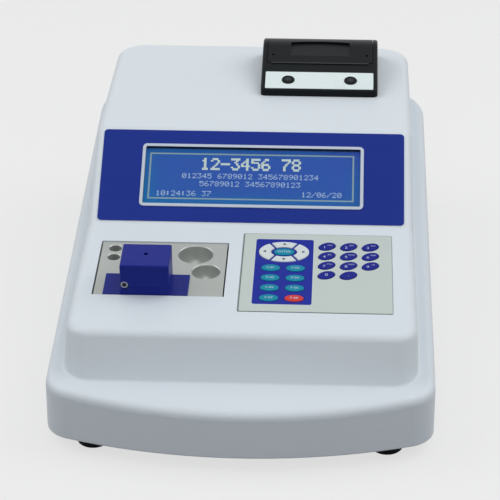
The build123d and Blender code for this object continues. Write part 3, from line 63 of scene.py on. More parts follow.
# Keypad: its middle on the deck, then places from that middle and the spacing of its keys
KEYPAD_MIDDLE = (41.9 * MM, -53.0 * MM)
KEYPAD_HALF = (45.05 * MM, 44.8 * MM)
# Sets the painted shadow line along the keypad overlay's left and front edges
KEYPAD_EDGE_SHADE = 0.4 * MM
KEY_TOP = 0.5 * MM
KEY_GROUP = -19.9 * MM
KEY_FIELD_PLACE = (-19.65 * MM, 1.05 * MM)
KEY_FIELD_HALF = (17.45 * MM, 37.3 * MM)
KEY_FIELD_RADIUS = 1.6 * MM
KEY_FIELD_RIM = 0.3 * MM
ARROW_RING = 23.1 * MM
ARROW_REACH = (11.8 * MM, 8.9 * MM)
FUNCTION_PITCH = (14.8 * MM, 11.3 * MM)
FUNCTION_MIDDLE = -12.6 * MM
NUMBER_PITCH = (13.05 * MM, 11.1 * MM)
NUMBER_MIDDLE = (19.0 * MM, 13.8 * MM)
FIGURE_SHIFT = (-1.5 * MM, -1.3 * MM)
LETTER_SHIFT = (1.7 * MM, 1.2 * MM)
FIGURE_SIZE = 3.6 * MM
LETTER_SIZE = 1.7 * MM
WORD_SIZE = 2.7 * MM
LETTER_DEPTH = 0.02 * MM
LETTER_STEPS = 6
ARROW_DEPTH = 0.03 * MM
MARK_SINK = 0.01 * MM
ARROW_OUTLINE = np.array([(-1.3, -0.9), (1.3, -0.9), (0.0, 1.1)]) * MM

# Display: half sizes across and along, and places from its middle; the gain is for each metre
LCD_FACE = -2.0 * MM
WINDOW_HALF = (67.4 * MM, 21.05 * MM)
WINDOW_RADIUS = 0.8 * MM
FIELD_MIDDLE = (-0.7 * MM, 1.1 * MM)
FIELD_HALF = (64.2 * MM, 17.1 * MM)
FIELD_LINE = 1.0 * MM
FIELD_RADIUS = 0.4 * MM
CALM_HALF = (61.5 * MM, 15.5 * MM)
CALM_RADIUS = 6.0 * MM
CALM_EDGE = 9.0 * MM
SWEEP_GAIN = (4.0, 9.0)
TITLE_FOOT = 4.0 * MM
DOTS_SHIFT = -0.8 * MM
DOT_SHARE = 0.46
DOT_HEIGHT = 0.06 * MM
SOFT_EDGE = 0.3 * MM
CRISP_EDGE = 0.12 * MM

# Printer, measuring head and boards; waves are in radians a metre
BUTTON_PLACE = (20.5 * MM, 9.8 * MM)
BUTTON_CORE = 2.0 * MM
RIDGE = (27.7 * MM, 28.9 * MM)
RIDGE_RISE = 0.2 * MM
RIDGE_EDGE = 0.125 * MM
ROLL_MIDDLE = Vector((40.0 * MM, 139.0 * MM, 107.4 * MM))
ROLL_HALF = 28.6 * MM
ROLL_EDGE = 0.05 * MM
ROLL_WAVES = 9000.0
PIN_HEAD = Vector((-69.7 * MM, -110.4 * MM, 76.1 * MM))
# Radius and soft edge of the painted shade over the pin's socket
PIN_SOCKET_SHADE = 1.15 * MM
PIN_EDGE = 0.25 * MM
TRACK_WAVES = (900.0, 700.0)

# Stage: the camera stands as in the photograph
CAMERA_PLACE = Vector((0.0542, -1.2308, 0.6507))
CAMERA_RIGHT = Vector((0.998986, 0.045014, 0.0))
CAMERA_AHEAD = Vector((-0.040410, 0.896803, -0.440576))
CAMERA_SENSOR = 36.0
CAMERA_REACH = 20.0
FLOOR_REACH = 6.0
FLOOR_WASH = (0.95, 0.95, 0.95)
SHADOW_SHARE = 0.2
SKY_COLOUR = (0.96, 0.98, 1.0)
LAMP_SIZE = 1.2
LAMP_AIM = Vector((0.0, 0.0, 0.05))
LAMPS = (
    ("left_lamp", 0.78, (-1.1, 0.15, 1.2)),
    ("right_lamp", 0.90, (1.0, 0.2, 1.3)),
    ("front_lamp", 0.45, (0.1, -1.2, 1.3)),
)


def sloped(point, slope):
    """Matrix of a sloped face: its X along the instrument's X, its Z square to the face."""
    turn = Matrix.Rotation(slope, 4, "X")
    return Matrix.Translation(point) @ turn


DECK = sloped(DECK_FOLD, DECK_SLOPE)
DISPLAY = sloped(DISPLAY_MIDDLE, DISPLAY_SLOPE)


# Shader sums written as Python


class Wire:
    """A number that runs through a node tree. Arithmetic on it adds the Math nodes."""

    def __init__(self, graph, socket):
        self.graph = graph
        self.socket = socket

    def step(self, operation, *values, clamp=False):
        settings = {"operation": operation, "use_clamp": clamp}
        return self.graph.node("ShaderNodeMath", settings, dict(enumerate(values)))

    def __add__(self, other):
        return self.step("ADD", self, other)

    __radd__ = __add__

    def __sub__(self, other):
        return self.step("SUBTRACT", self, other)

    def __rsub__(self, other):
        return self.step("SUBTRACT", other, self)

    def __mul__(self, other):
        return self.step("MULTIPLY", self, other)

    __rmul__ = __mul__

    def __truediv__(self, other):
        return self.step("DIVIDE", self, other)

    def __rtruediv__(self, other):
        return self.step("DIVIDE", other, self)

    def __pow__(self, other):
        return self.step("POWER", self, other)

    def __abs__(self):
        return self.step("ABSOLUTE", self)

    def above(self, other):
        """The larger of the two."""
        return self.step("MAXIMUM", self, other)

    def held(self):
        """Kept between 0 and 1."""
        return self.step("ADD", self, 0.0, clamp=True)

    def wave(self):
        """Its sine."""
        return self.step("SINE", self)


def solid(colour):
    """A colour as a socket takes it, with its fourth number."""
    return (*colour[:3], 1.0)


class Graph:
    """A node tree under construction, of a material or of the world."""

    def __init__(self, tree, end):
        self.tree = tree
        self.tree.nodes.clear()
        self.end = self.tree.nodes.new(end)

    def node(self, kind, settings=None, inputs=None, output=0):
        """Any node: its settings first, then the values or wires of its sockets."""
        made = self.tree.nodes.new(kind)
        for key, value in (settings or {}).items():
            setattr(made, key, value)
        for key, value in (inputs or {}).items():
            if isinstance(value, Wire):
                self.tree.links.new(value.socket, made.inputs[key])
            else:
                made.inputs[key].default_value = value
        return Wire(self, made.outputs[output])

    def show(self, surface):
        """Ends the tree in a shader."""
        self.tree.links.new(surface.socket, self.end.inputs[0])

    def seen(self):
        """1 for the rays that show the background: those of the camera, glass and mirrors."""
        rays = self.node("ShaderNodeLightPath", output="Is Camera Ray")
        outputs = rays.socket.node.outputs
        for name in ("Is Transmission Ray", "Is Glossy Ray"):
            rays = rays.above(Wire(self, outputs[name]))
        return rays


class Finish(Graph):
    """A material under construction, with its Principled shader."""

    def __init__(self, name, **constants):
        self.material = bpy.data.materials.new(name)
        self.material.use_nodes = True
        super().__init__(self.material.node_tree, "ShaderNodeOutputMaterial")
        self.surface = self.node("ShaderNodeBsdfPrincipled")
        self.show(self.surface)
        self.feed(**constants)
        self.point = self.node("ShaderNodeTexCoord", output="Object")

    def feed(self, **values):
        """Sets or links sockets of the shader: base_color is its Base Color, and so on."""
        names = {
            "base_color": "Base Color",
            "roughness": "Roughness",
            "metallic": "Metallic",
            "normal": "Normal",
            "alpha": "Alpha",
            "ior": "IOR",
            "glow": "Emission Color",
            "glow_strength": "Emission Strength",
            "specular": "Specular IOR Level",
        }
        shader = self.surface.socket.node
        for key, value in values.items():
            socket = shader.inputs[names[key]]
            if isinstance(value, Wire):
                self.tree.links.new(value.socket, socket)
            elif key in ("base_color", "glow"):
                socket.default_value = solid(value)
            else:
                socket.default_value = value

    def axes(self):
        """The three numbers of a place on the piece."""
        made = self.node("ShaderNodeSeparateXYZ", inputs={0: self.point})
        outputs = made.socket.node.outputs
        return [Wire(self, outputs[i]) for i in range(3)]

    def on_face(self, point, slope):
        """Places measured along a sloped face: right, up the slope, and out of it."""
        x, y, z = self.axes()
        right = x - point.x
        along = (y - point.y) * math.cos(slope) + (z - point.z) * math.sin(slope)
        out = (z - point.z) * math.cos(slope) - (y - point.y) * math.sin(slope)
        return right, along, out

    def noise(self, scale, detail, roughness=0.5, stretch=None):
        """Fractal noise of about 0.5. Its scale, or stretch for each axis, is in grains a metre."""
        place = self.point
        if stretch is not None:
            settings = {"operation": "MULTIPLY"}
            place = self.node("ShaderNodeVectorMath", settings, {0: place, 1: stretch})
        inputs = {"Vector": place, "Scale": scale, "Detail": detail, "Roughness": roughness}
        return self.node("ShaderNodeTexNoise", {}, inputs)

    def mix(self, factor, first, second):
        """Colour mixed from first to second."""
        colours = [c if isinstance(c, Wire) else solid(c) for c in (first, second)]
        inputs = {0: factor, 6: colours[0], 7: colours[1]}
        return self.node("ShaderNodeMix", {"data_type": "RGBA"}, inputs, output=2)

    def bump(self, height, distance):
        """Surface relief: height times distance, in metres."""
        inputs = {"Strength": 1.0, "Distance": distance, "Height": height}
        return self.node("ShaderNodeBump", {}, inputs)

    def rounded(self, right, up, half_width, half_height, radius, soft):
        """1 inside a rounded rectangle and 0 outside, over a soft edge."""
        across = (abs(right) - (half_width - radius)).above(0.0)
        along = (abs(up) - (half_height - radius)).above(0.0)
        distance = (across * across + along * along) ** 0.5 - radius
        return (0.5 - distance / soft).held()


def tinted(colour, amount):
    """The colour made lighter or darker by a share."""
    return tuple(max(0.0, min(1.0, part * (1.0 + amount))) for part in colour)


def moulding(
    name, colour, grain=1500.0, relief=0.012 * MM, roughness=0.42, drift=0.035, specular=0.45
):
    """Moulded plastic: slow drift of tone, fine spark-eroded grain and uneven sheen."""
    finish = Finish(name, specular=specular)
    cloud = finish.noise(scale=9.0, detail=3.0)
    fine = finish.noise(scale=grain, detail=2.0, roughness=0.6)
    tone = finish.mix(cloud, tinted(colour, -drift), tinted(colour, drift))
    finish.feed(
        base_color=finish.mix(fine * 0.12, tone, tinted(colour, -0.18)),
        roughness=roughness + (fine - 0.5) * 0.16 + (cloud - 0.5) * 0.1,
        normal=finish.bump(fine, relief),
    )
    return finish.material


def printed_film(name, colour, roughness=0.3):
    """Printed plastic film: even ink with a low sheen and a faint orange-peel."""
    finish = Finish(name, specular=0.1)
    peel = finish.noise(scale=700.0, detail=1.0)
    cloud = finish.noise(scale=18.0, detail=2.0)
    finish.feed(
        base_color=finish.mix(cloud, tinted(colour, -0.05), tinted(colour, 0.05)),
        roughness=roughness + (peel - 0.5) * 0.12,
        normal=finish.bump(peel, 0.006 * MM),
    )
    return finish.material


def metal(name, colour, roughness=0.32, stretch=(60.0, 900.0, 900.0), relief=0.004 * MM):
    """Brushed or milled metal: fine lines along one axis, in tone, sheen and relief."""
    finish = Finish(name, metallic=1.0)
    lines = finish.noise(scale=1.0, detail=3.0, roughness=0.6, stretch=stretch)
    cloud = finish.noise(scale=22.0, detail=2.0)
    finish.feed(
        base_color=finish.mix(lines, tinted(colour, -0.10), tinted(colour, 0.10)),
        roughness=roughness + (lines - 0.5) * 0.18 + (cloud - 0.5) * 0.10,
        normal=finish.bump(lines, relief),
    )
    return finish.material


def rubber(name, colour, roughness=0.7):
    """Matt rubber with a fine powdery grain."""
    finish = Finish(name, specular=0.08)
    fine = finish.noise(scale=1100.0, detail=3.0, roughness=0.65)
    cloud = finish.noise(scale=35.0, detail=2.0)
    finish.feed(
        base_color=finish.mix(cloud * 0.5 + fine * 0.2, colour, tinted(colour, 0.7)),
        roughness=roughness + (fine - 0.5) * 0.2,
        normal=finish.bump(fine, 0.02 * MM),
    )
    return finish.material


def dress(material, *names):
    """Puts a finish on solids of the frame."""
    for name in names:
        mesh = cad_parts[name].data
        mesh.materials.clear()
        mesh.materials.append(material)


def put(name, data):
    """A new object of the scene, at the origin."""
    made = bpy.data.objects.new(name, data)
    bpy.context.scene.collection.objects.link(made)
    return made


def mesh_piece(name, points, faces, face, material, body):
    """A new piece riding on a body. Its points are measured from a sloped face."""
    matrix = np.array(face)
    placed = points @ matrix[:3, :3].T + matrix[:3, 3]
    mesh = bpy.data.meshes.new(name)
    mesh.from_pydata(placed.tolist(), [], faces)
    mesh.materials.append(material)
    piece = put(name, mesh)
    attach(piece, body)
    return piece


def text_piece(name, words, size, face, place, material, body):
    """Plain marks printed on a face: flat letters, a hair thick, set into place as a mesh."""
    curve = bpy.data.curves.new(name, "FONT")
    curve.body = words
    curve.size = size
    curve.align_x = "CENTER"
    curve.align_y = "CENTER"
    curve.extrude = LETTER_DEPTH
    curve.resolution_u = LETTER_STEPS
    source = put(name + "_source", curve)
    bpy.context.view_layer.update()
    mesh = bpy.data.meshes.new_from_object(source)
    bpy.data.objects.remove(source)
    bpy.data.curves.remove(curve)
    mesh.name = name
    mesh.transform(face @ Matrix.Translation(place))
    mesh.materials.clear()
    mesh.materials.append(material)
    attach(put(name, mesh), body)


# Sizes and colours that a user would change


def colour_property(name, description, default):
    """A colour that the user can change."""
    return FloatVectorProperty(
        name=name,
        description=description,
        default=default,
        size=3,
        subtype="COLOR",
        min=0.0,
        max=1.0,
    )


class CaseLooks(bpy.types.PropertyGroup):
    case_colour: colour_property("Case", "Colour of the moulded case", (0.70, 0.76, 0.81))
    grain: FloatProperty(
        name="Grain",
        description="Grains of the case's texture per metre",
        default=1500.0,
        min=100.0,
    )
    foot_colour: colour_property("Feet", "Colour of the rubber feet", (0.003, 0.003, 0.004))
    plate_colour: colour_property("Sheet", "Colour of the coated sheet metal", (0.42, 0.43, 0.45))


class PanelLooks(bpy.types.PropertyGroup):
    label_colour: colour_property("Label", "Ink round the display", (0.014, 0.034, 0.265))
    line_colour: colour_property("Frame line", "Raised line round the window", (0.55, 0.61, 0.70))
    lit_colour: colour_property("Lit field", "Backlit middle", (0.022, 0.066, 0.350))
    rim_colour: colour_property("Lit rim", "Backlit rim", (0.004, 0.135, 0.380))
    edge_colour: colour_property("Field edge", "Lit line round the dots", (0.24, 0.35, 0.36))
    dot_colour: colour_property("Dots", "Lit dots of the display", (0.50, 0.60, 0.50))
    small_colour: colour_property("Small dots", "Lit dots of the small lines", (0.30, 0.42, 0.56))
    overlay_colour: colour_property("Overlay", "Ground of the keypad", (0.545, 0.612, 0.584))
    field_colour: colour_property("Key field", "Ink behind the function keys", (0.008, 0.020, 0.30))
    teal_colour: colour_property("Teal keys", "Ink of the function keys", (0.003, 0.245, 0.365))
    red_colour: colour_property("Red key", "Ink of the last function key", (0.610, 0.048, 0.045))
    number_colour: colour_property("Number keys", "Ink of the number keys", (0.005, 0.012, 0.235))
    arrow_colour: colour_property("Arrow keys", "Ground of the arrow keys", (0.66, 0.71, 0.72))
    dot_pitch: FloatProperty(
        name="Dot pitch",
        description="Distance between the display's dots",
        default=0.53 * MM,
        subtype="DISTANCE",
        unit="LENGTH",
    )


class BlockLooks(bpy.types.PropertyGroup):
    block_colour: colour_property("Block", "Metal of the heated block", (0.45, 0.474, 0.45))
    head_colour: colour_property("Head", "Moulding of the measuring head", (0.005, 0.014, 0.225))


class PrinterLooks(bpy.types.PropertyGroup):
    printer_colour: colour_property("Printer", "Glossy frame", (0.005, 0.007, 0.008))
    cover_colour: colour_property("Cover", "Satin paper cover", (0.006, 0.007, 0.008))
    strip_colour: colour_property("Strip", "Printed strip round the buttons", (0.75, 0.84, 0.84))
    paper_colour: colour_property("Paper", "Recording paper", (0.82, 0.82, 0.80))


class StageLooks(bpy.types.PropertyGroup):
    floor_colour: colour_property("Floor", "Floor as it shows", (0.832, 0.832, 0.832))
    shade_colour: colour_property("Floor shade", "Floor as the object sees it", (0.24, 0.24, 0.25))
    dome_level: FloatProperty(
        name="Even light",
        description="Level of the even light from all round",
        default=0.40,
        min=0.0,
    )
    lamp_power: FloatProperty(
        name="Lamps",
        description="Power of a soft lamp at full share",
        default=10.5,
        subtype="POWER",
        unit="POWER",
    )
    lens: FloatProperty(
        name="Lens",
        description="Focal length of the camera, in millimetres",
        default=155.9,
        min=10.0,
    )


# Operators: one for each piece or group of like pieces


class ANALYZER_OT_case(bpy.types.Operator):
    """Surface of the case, its base plate, feet and screws."""

    bl_idname = "analyzer.case"
    bl_label = "Case"

    def execute(self, context):
        looks = context.scene.analyzer_case
        dress(moulding("case_moulding", looks.case_colour, looks.grain, drift=0.02), "housing")
        dress(rubber("foot_rubber", looks.foot_colour), "feet")
        even = (300.0, 300.0, 300.0)
        upright = (700.0, 700.0, 40.0)
        plate = metal("plate_sheet", looks.plate_colour, roughness=0.45, stretch=even)
        post = metal("post_steel", (0.42, 0.43, 0.45), roughness=0.35, stretch=upright)
        screw = metal("screw_steel", (0.45, 0.46, 0.48), roughness=0.3)
        dress(plate, "base_plate")
        dress(post, "block_posts")
        dress(screw, "case_screws", "board_screws")
        return {"FINISHED"}


class ANALYZER_OT_display(bpy.types.Operator):
    """Label, frame line, window and lit module of the display."""

    bl_idname = "analyzer.display"
    bl_label = "Display"

    def execute(self, context):
        looks = context.scene.analyzer_panel
        dress(printed_film("label_film", looks.label_colour, roughness=0.34), "display_label")
        dress(self.frame_line(looks.line_colour), "display_frame")
        dress(self.clear_window(), "display_window")
        dress(self.lit_glass(looks), "lcd_glass")
        dress(self.milky_guide(), "light_guide")
        dress(metal("module_sheet", (0.33, 0.34, 0.36), roughness=0.3), "module_frame")
        return {"FINISHED"}

    def clear_window(self):
        """Clear plastic, with a faint blue veil and uneven sheen."""
        window = Finish("window_clear", ior=1.49, specular=0.15)
        smear = window.noise(scale=40.0, detail=2.0)
        window.feed(
            base_color=(0.10, 0.20, 0.40),
            alpha=0.04 + smear * 0.03,
            roughness=0.05 + smear * 0.05,
        )
        window.material.surface_render_method = "BLENDED"
        return window.material

    def milky_guide(self):
        """Milky plastic, slightly clouded."""
        guide = Finish("guide_milky", roughness=0.35, specular=0.4)
        cloud = guide.noise(scale=120.0, detail=2.0)
        guide.feed(base_color=guide.mix(cloud, (0.62, 0.66, 0.70), (0.80, 0.83, 0.85)))
        return guide.material

    def frame_line(self, colour):
        """Pale raised line; the walls that go down to the window are painted black, a painted shade
        of the recess.

        The window's mask is doubled, so that the painted shade reaches the very edge of the
        opening.
        """
        finish = Finish("frame_line", roughness=0.35, specular=0.3)
        right, up, _ = finish.on_face(DISPLAY_MIDDLE, DISPLAY_SLOPE)
        window_wall_shade = finish.rounded(right, up, *WINDOW_HALF, WINDOW_RADIUS, SOFT_EDGE)
        cloud = finish.noise(scale=90.0, detail=2.0)
        pale = finish.mix(cloud, tinted(colour, -0.03), tinted(colour, 0.03))
        # Painted shade: near black on the walls down to the window, pale on the line's top
        finish.feed(base_color=finish.mix((window_wall_shade * 2.0).held(), pale, (0.006, 0.007, 0.010)))
        return finish.material

    def lit_glass(self, looks):
        """Backlit glass: bright rim, blue middle, and a pale line round the field of dots.

        The rim's colour also gains to the left and down, by the sweep's gain for each metre.
        """
        finish = Finish("lit_glass", roughness=0.25, specular=0.12, glow_strength=0.62)
        right, up, _ = finish.on_face(DISPLAY_MIDDLE, DISPLAY_SLOPE)
        right = right - FIELD_MIDDLE[0]
        up = up - FIELD_MIDDLE[1]
        inside = [half - FIELD_LINE for half in FIELD_HALF]
        middle = finish.rounded(right, up, *FIELD_HALF, FIELD_RADIUS, SOFT_EDGE)
        inner = finish.rounded(right, up, *inside, FIELD_RADIUS, SOFT_EDGE)
        field = finish.rounded(right, up, *CALM_HALF, CALM_RADIUS, CALM_EDGE)
        cloud = finish.noise(scale=28.0, detail=2.0)
        tilt = right * SWEEP_GAIN[0] + up * SWEEP_GAIN[1]
        sweep = (0.5 - tilt + (cloud - 0.5) * 0.8).held()
        rim = finish.mix(sweep, looks.lit_colour, looks.rim_colour)
        blue = finish.mix(field, rim, tinted(looks.lit_colour, 0.06))
        blue = finish.mix(sweep * 0.28, blue, looks.rim_colour)
        line = (middle - inner).held()
        ink = finish.mix(line, blue, looks.edge_colour)
        finish.feed(base_color=finish.mix(0.55, ink, BLACK), glow=ink)
        return finish.material


# Dots of each figure, row by row from its top
FIGURES = {
    "0": "01110 10001 10011 10101 11001 10001 01110",
    "1": "00100 01100 00100 00100 00100 00100 01110",
    "2": "01110 10001 00001 00010 00100 01000 11111",
    "3": "11111 00010 00100 00010 00001 10001 01110",
    "4": "00010 00110 01010 10010 11111 00010 00010",
    "5": "11111 10000 11110 00001 00001 10001 01110",
    "6": "00110 01000 10000 11110 10001 10001 01110",
    "7": "11111 00001 00010 00100 01000 01000 01000",
    "8": "01110 10001 10001 01110 10001 10001 01110",
    "9": "01110 10001 10001 01111 00001 00010 01100",
    ":": "00000 01100 01100 00000 01100 01100 00000",
    "/": "00001 00001 00010 00100 01000 10000 10000",
    "-": "00000 00000 00000 11111 00000 00000 00000",
    " ": "00000 00000 00000 00000 00000 00000 00000",
}


def dot_centres(line, wide, tall):
    """Columns and rows of the lit dots of a line of figures, as two arrays of dot steps.

    Each dot of a figure becomes wide dots across, one more where wide is over 1, and as many
    along as tall gives for its row.
    """
    cells = [np.array([[int(bit) for bit in row] for row in FIGURES[c].split()]) for c in line]
    strip = np.concatenate([np.pad(cell, ((0, 0), (0, 1))) for cell in cells], axis=1)
    strip = np.repeat(np.repeat(strip, wide, axis=1), tall, axis=0)
    if wide > 1:
        strip[:, 1:] |= strip[:, :-1]
    rows, columns = np.nonzero(strip)
    return columns - strip.shape[1] / 2, strip.shape[0] / 2 - rows


# Lines of the display: figures, width and row heights of a dot, place of the line's middle
DISPLAY_LINES = (
    ("12-3456 78", 2, (3, 2, 2, 3, 2, 2, 3), 0.0, 10.1 * MM),
    ("012345 6789012 345678901234", 1, 1, 0.0, 1.1 * MM),
    ("56789012 34567890123", 1, 1, 0.0, -4.6 * MM),
    ("10:24:36 37", 1, 1, -41.2 * MM, -12.0 * MM),
    ("12/06/20", 1, 1, 44.8 * MM, -11.5 * MM),
)


class ANALYZER_OT_digits(bpy.types.Operator):
    """Lit figures of the display, as single dots.

    Every dot is the same low box, set down at each lit place of the lines of figures.
    """

    bl_idname = "analyzer.digits"
    bl_label = "Display figures"

    def execute(self, context):
        looks = context.scene.analyzer_panel
        pitch = looks.dot_pitch
        across, along = [], []
        for line, wide, tall, right, up in DISPLAY_LINES:
            columns, rows = dot_centres(line, wide, tall)
            across.append(columns * pitch + right + DOTS_SHIFT)
            along.append(rows * pitch + up)
        across = np.concatenate(across)
        along = np.concatenate(along)
        half = pitch * DOT_SHARE
        outside_socket_shade = ((-1, -1), (1, -1), (1, 1), (-1, 1))
        corners = np.array([(x, y, z) for z in (0, 1) for x, y in outside_socket_shade])
        spread = corners * (half, half, DOT_HEIGHT)
        depth = np.full_like(across, LCD_FACE - MARK_SINK)
        centres = np.stack([across, along, depth], axis=1)
        points = (centres[:, None, :] + spread[None, :, :]).reshape(-1, 3)
        around = [(i, (i + 1) % 4, (i + 1) % 4 + 4, i + 4) for i in range(4)]
        box = np.array([(0, 3, 2, 1), (4, 5, 6, 7), *around])
        steps = np.arange(len(centres))[:, None, None] * len(corners)
        faces = (steps + box[None]).reshape(-1, 4).tolist()
        finish = Finish("lit_dots", roughness=0.4, glow_strength=0.75)
        cloud = finish.noise(scale=60.0, detail=2.0)
        _, up, _ = finish.on_face(DISPLAY_MIDDLE, DISPLAY_SLOPE)
        title = ((up - TITLE_FOOT) / SOFT_EDGE).held()
        tone = finish.mix(title, looks.small_colour, looks.dot_colour)
        ink = finish.mix(cloud * 0.15, tone, (0.1, 0.2, 0.4))
        finish.feed(base_color=finish.mix(0.5, ink, BLACK), glow=ink)
        piece = mesh_piece("display_dots", points, faces, DISPLAY, finish.material, BASE)
        return {"FINISHED"}


class ANALYZER_OT_keypad(bpy.types.Operator):
    """Overlay of the keypad and its keys."""

    bl_idname = "analyzer.keypad"
    bl_label = "Keypad"

    def execute(self, context):
        looks = context.scene.analyzer_panel
        dress(self.overlay(looks), "keypad_label")
        numbers = [f"key_number_{count}" for count in range(1, 12)]
        dress(printed_film("key_blue_film", looks.number_colour, roughness=0.3), *numbers)
        teal = ["key_enter", *(f"key_function_{count}" for count in range(1, 8))]
        dress(printed_film("key_teal_film", looks.teal_colour, roughness=0.3), *teal)
        dress(printed_film("key_red_film", looks.red_colour, roughness=0.3), "key_function_8")
        arrows = [f"key_{way}" for way in ("up", "left", "down", "right")]
        dress(printed_film("key_arrow_film", looks.arrow_colour, roughness=0.34), *arrows)
        return {"FINISHED"}

    def overlay(self, looks):
        """Pale grained film with its printed blue field; a painted shadow line darkens its left and
        front edges.
        """
        finish = Finish("overlay_film", specular=0.12)
        right, up, _ = finish.on_face(DECK_FOLD, DECK_SLOPE)
        right = right - KEYPAD_MIDDLE[0]
        up = up - KEYPAD_MIDDLE[1]
        across = right - KEY_FIELD_PLACE[0]
        along = up - KEY_FIELD_PLACE[1]
        outside = [half + KEY_FIELD_RIM for half in KEY_FIELD_HALF]
        radius = KEY_FIELD_RADIUS + KEY_FIELD_RIM
        field = finish.rounded(across, along, *KEY_FIELD_HALF, KEY_FIELD_RADIUS, CRISP_EDGE)
        rim = finish.rounded(across, along, *outside, radius, SOFT_EDGE)
        cloud = finish.noise(scale=14.0, detail=3.0)
        fine = finish.noise(scale=1800.0, detail=2.0)
        colour = looks.overlay_colour
        ground = finish.mix(cloud, tinted(colour, -0.04), tinted(colour, 0.04))
        ground = finish.mix((rim - field).held() * 0.5, ground, (0.68, 0.72, 0.74))
        # Painted shadow line: a band along the left and front edges, darkened towards near black
        inside = [half - KEYPAD_EDGE_SHADE for half in KEYPAD_HALF]
        right = right - KEYPAD_EDGE_SHADE
        up = up - KEYPAD_EDGE_SHADE
        clear_of_edge_shade = finish.rounded(right, up, *inside, 2.0 * KEYPAD_EDGE_SHADE, SOFT_EDGE)
        ground = finish.mix((1.0 - clear_of_edge_shade) * 0.8, ground, (0.10, 0.11, 0.11))
        finish.feed(
            base_color=finish.mix(field, ground, looks.field_colour),
            roughness=0.4 + (fine - 0.5) * 0.2,
            normal=finish.bump(fine, 0.008 * MM),
        )
        return finish.material


ALPHABET = "ABCDEFGHIJKLMNOPQRSTUVWXYZ"


class ANALYZER_OT_marks(bpy.types.Operator):
    """Figures, letters and arrows printed on the keys, each riding on its own key."""

    bl_idname = "analyzer.marks"
    bl_label = "Key marks"

    def execute(self, context):
        looks = context.scene.analyzer_panel
        pale = printed_film("mark_pale", (0.55, 0.60, 0.75), roughness=0.4)
        dark = printed_film("mark_dark", (0.05, 0.05, 0.08), roughness=0.4)
        x0, y0 = KEYPAD_MIDDLE
        lift = KEY_TOP - MARK_SINK
        for count, figure in enumerate("1234567890."):
            row, column = divmod(count, 3)
            right = x0 + NUMBER_MIDDLE[0] + (column - 1) * NUMBER_PITCH[0]
            up = y0 + NUMBER_MIDDLE[1] - (row - 1.5) * NUMBER_PITCH[1]
            key = f"key_number_{count + 1}"
            lettered = count < 9
            shift = FIGURE_SHIFT if lettered else (0.0, 0.0)
            place = (right + shift[0], up + shift[1], lift)
            text_piece(f"figure_{count + 1}", figure, FIGURE_SIZE, DECK, place, pale, key)
            if lettered:
                name = f"letters_{count + 1}"
                letters = ALPHABET[3 * count : 3 * count + 3]
                place = (right + LETTER_SHIFT[0], up + LETTER_SHIFT[1], lift)
                text_piece(name, letters, LETTER_SIZE, DECK, place, pale, key)
        for count in range(8):
            row, column = divmod(count, 2)
            right = x0 + KEY_GROUP + (column - 0.5) * FUNCTION_PITCH[0]
            up = y0 + FUNCTION_MIDDLE - (row - 1.5) * FUNCTION_PITCH[1]
            name = f"function_mark_{count + 1}"
            words = f"F-0{count + 1}"
            key = f"key_function_{count + 1}"
            text_piece(name, words, WORD_SIZE, DECK, (right, up, lift), pale, key)
        centre = np.array((x0 + KEY_GROUP, y0 + ARROW_RING))
        place = (*centre, lift)
        text_piece("enter_mark", "ENTER", WORD_SIZE, DECK, place, pale, "key_enter")
        for quarter, way in enumerate(("up", "left", "down", "right")):
            self.arrow(way, quarter * math.pi / 2, centre, lift, dark)
        return {"FINISHED"}

    def arrow(self, way, turn, centre, lift, material):
        """A flat solid triangle that points along the ring's way out.

        Its outline is turned to its way, and moved out from the ring's centre by the ring's reach.
        """
        out = np.array((-math.sin(turn), math.cos(turn)))
        spin = np.array([(out[1], out[0]), (-out[0], out[1])])
        flat = ARROW_OUTLINE @ spin.T + centre + out * ARROW_REACH
        low = np.column_stack([flat, np.full(3, lift)])
        high = np.column_stack([flat, np.full(3, lift + ARROW_DEPTH)])
        sides = [(i, (i + 1) % 3, (i + 1) % 3 + 3, i + 3) for i in range(3)]
        faces = [(2, 1, 0), (3, 4, 5), *sides]
        points = np.vstack([low, high])
        mesh_piece(f"arrow_mark_{way}", points, faces, DECK, material, f"key_{way}")


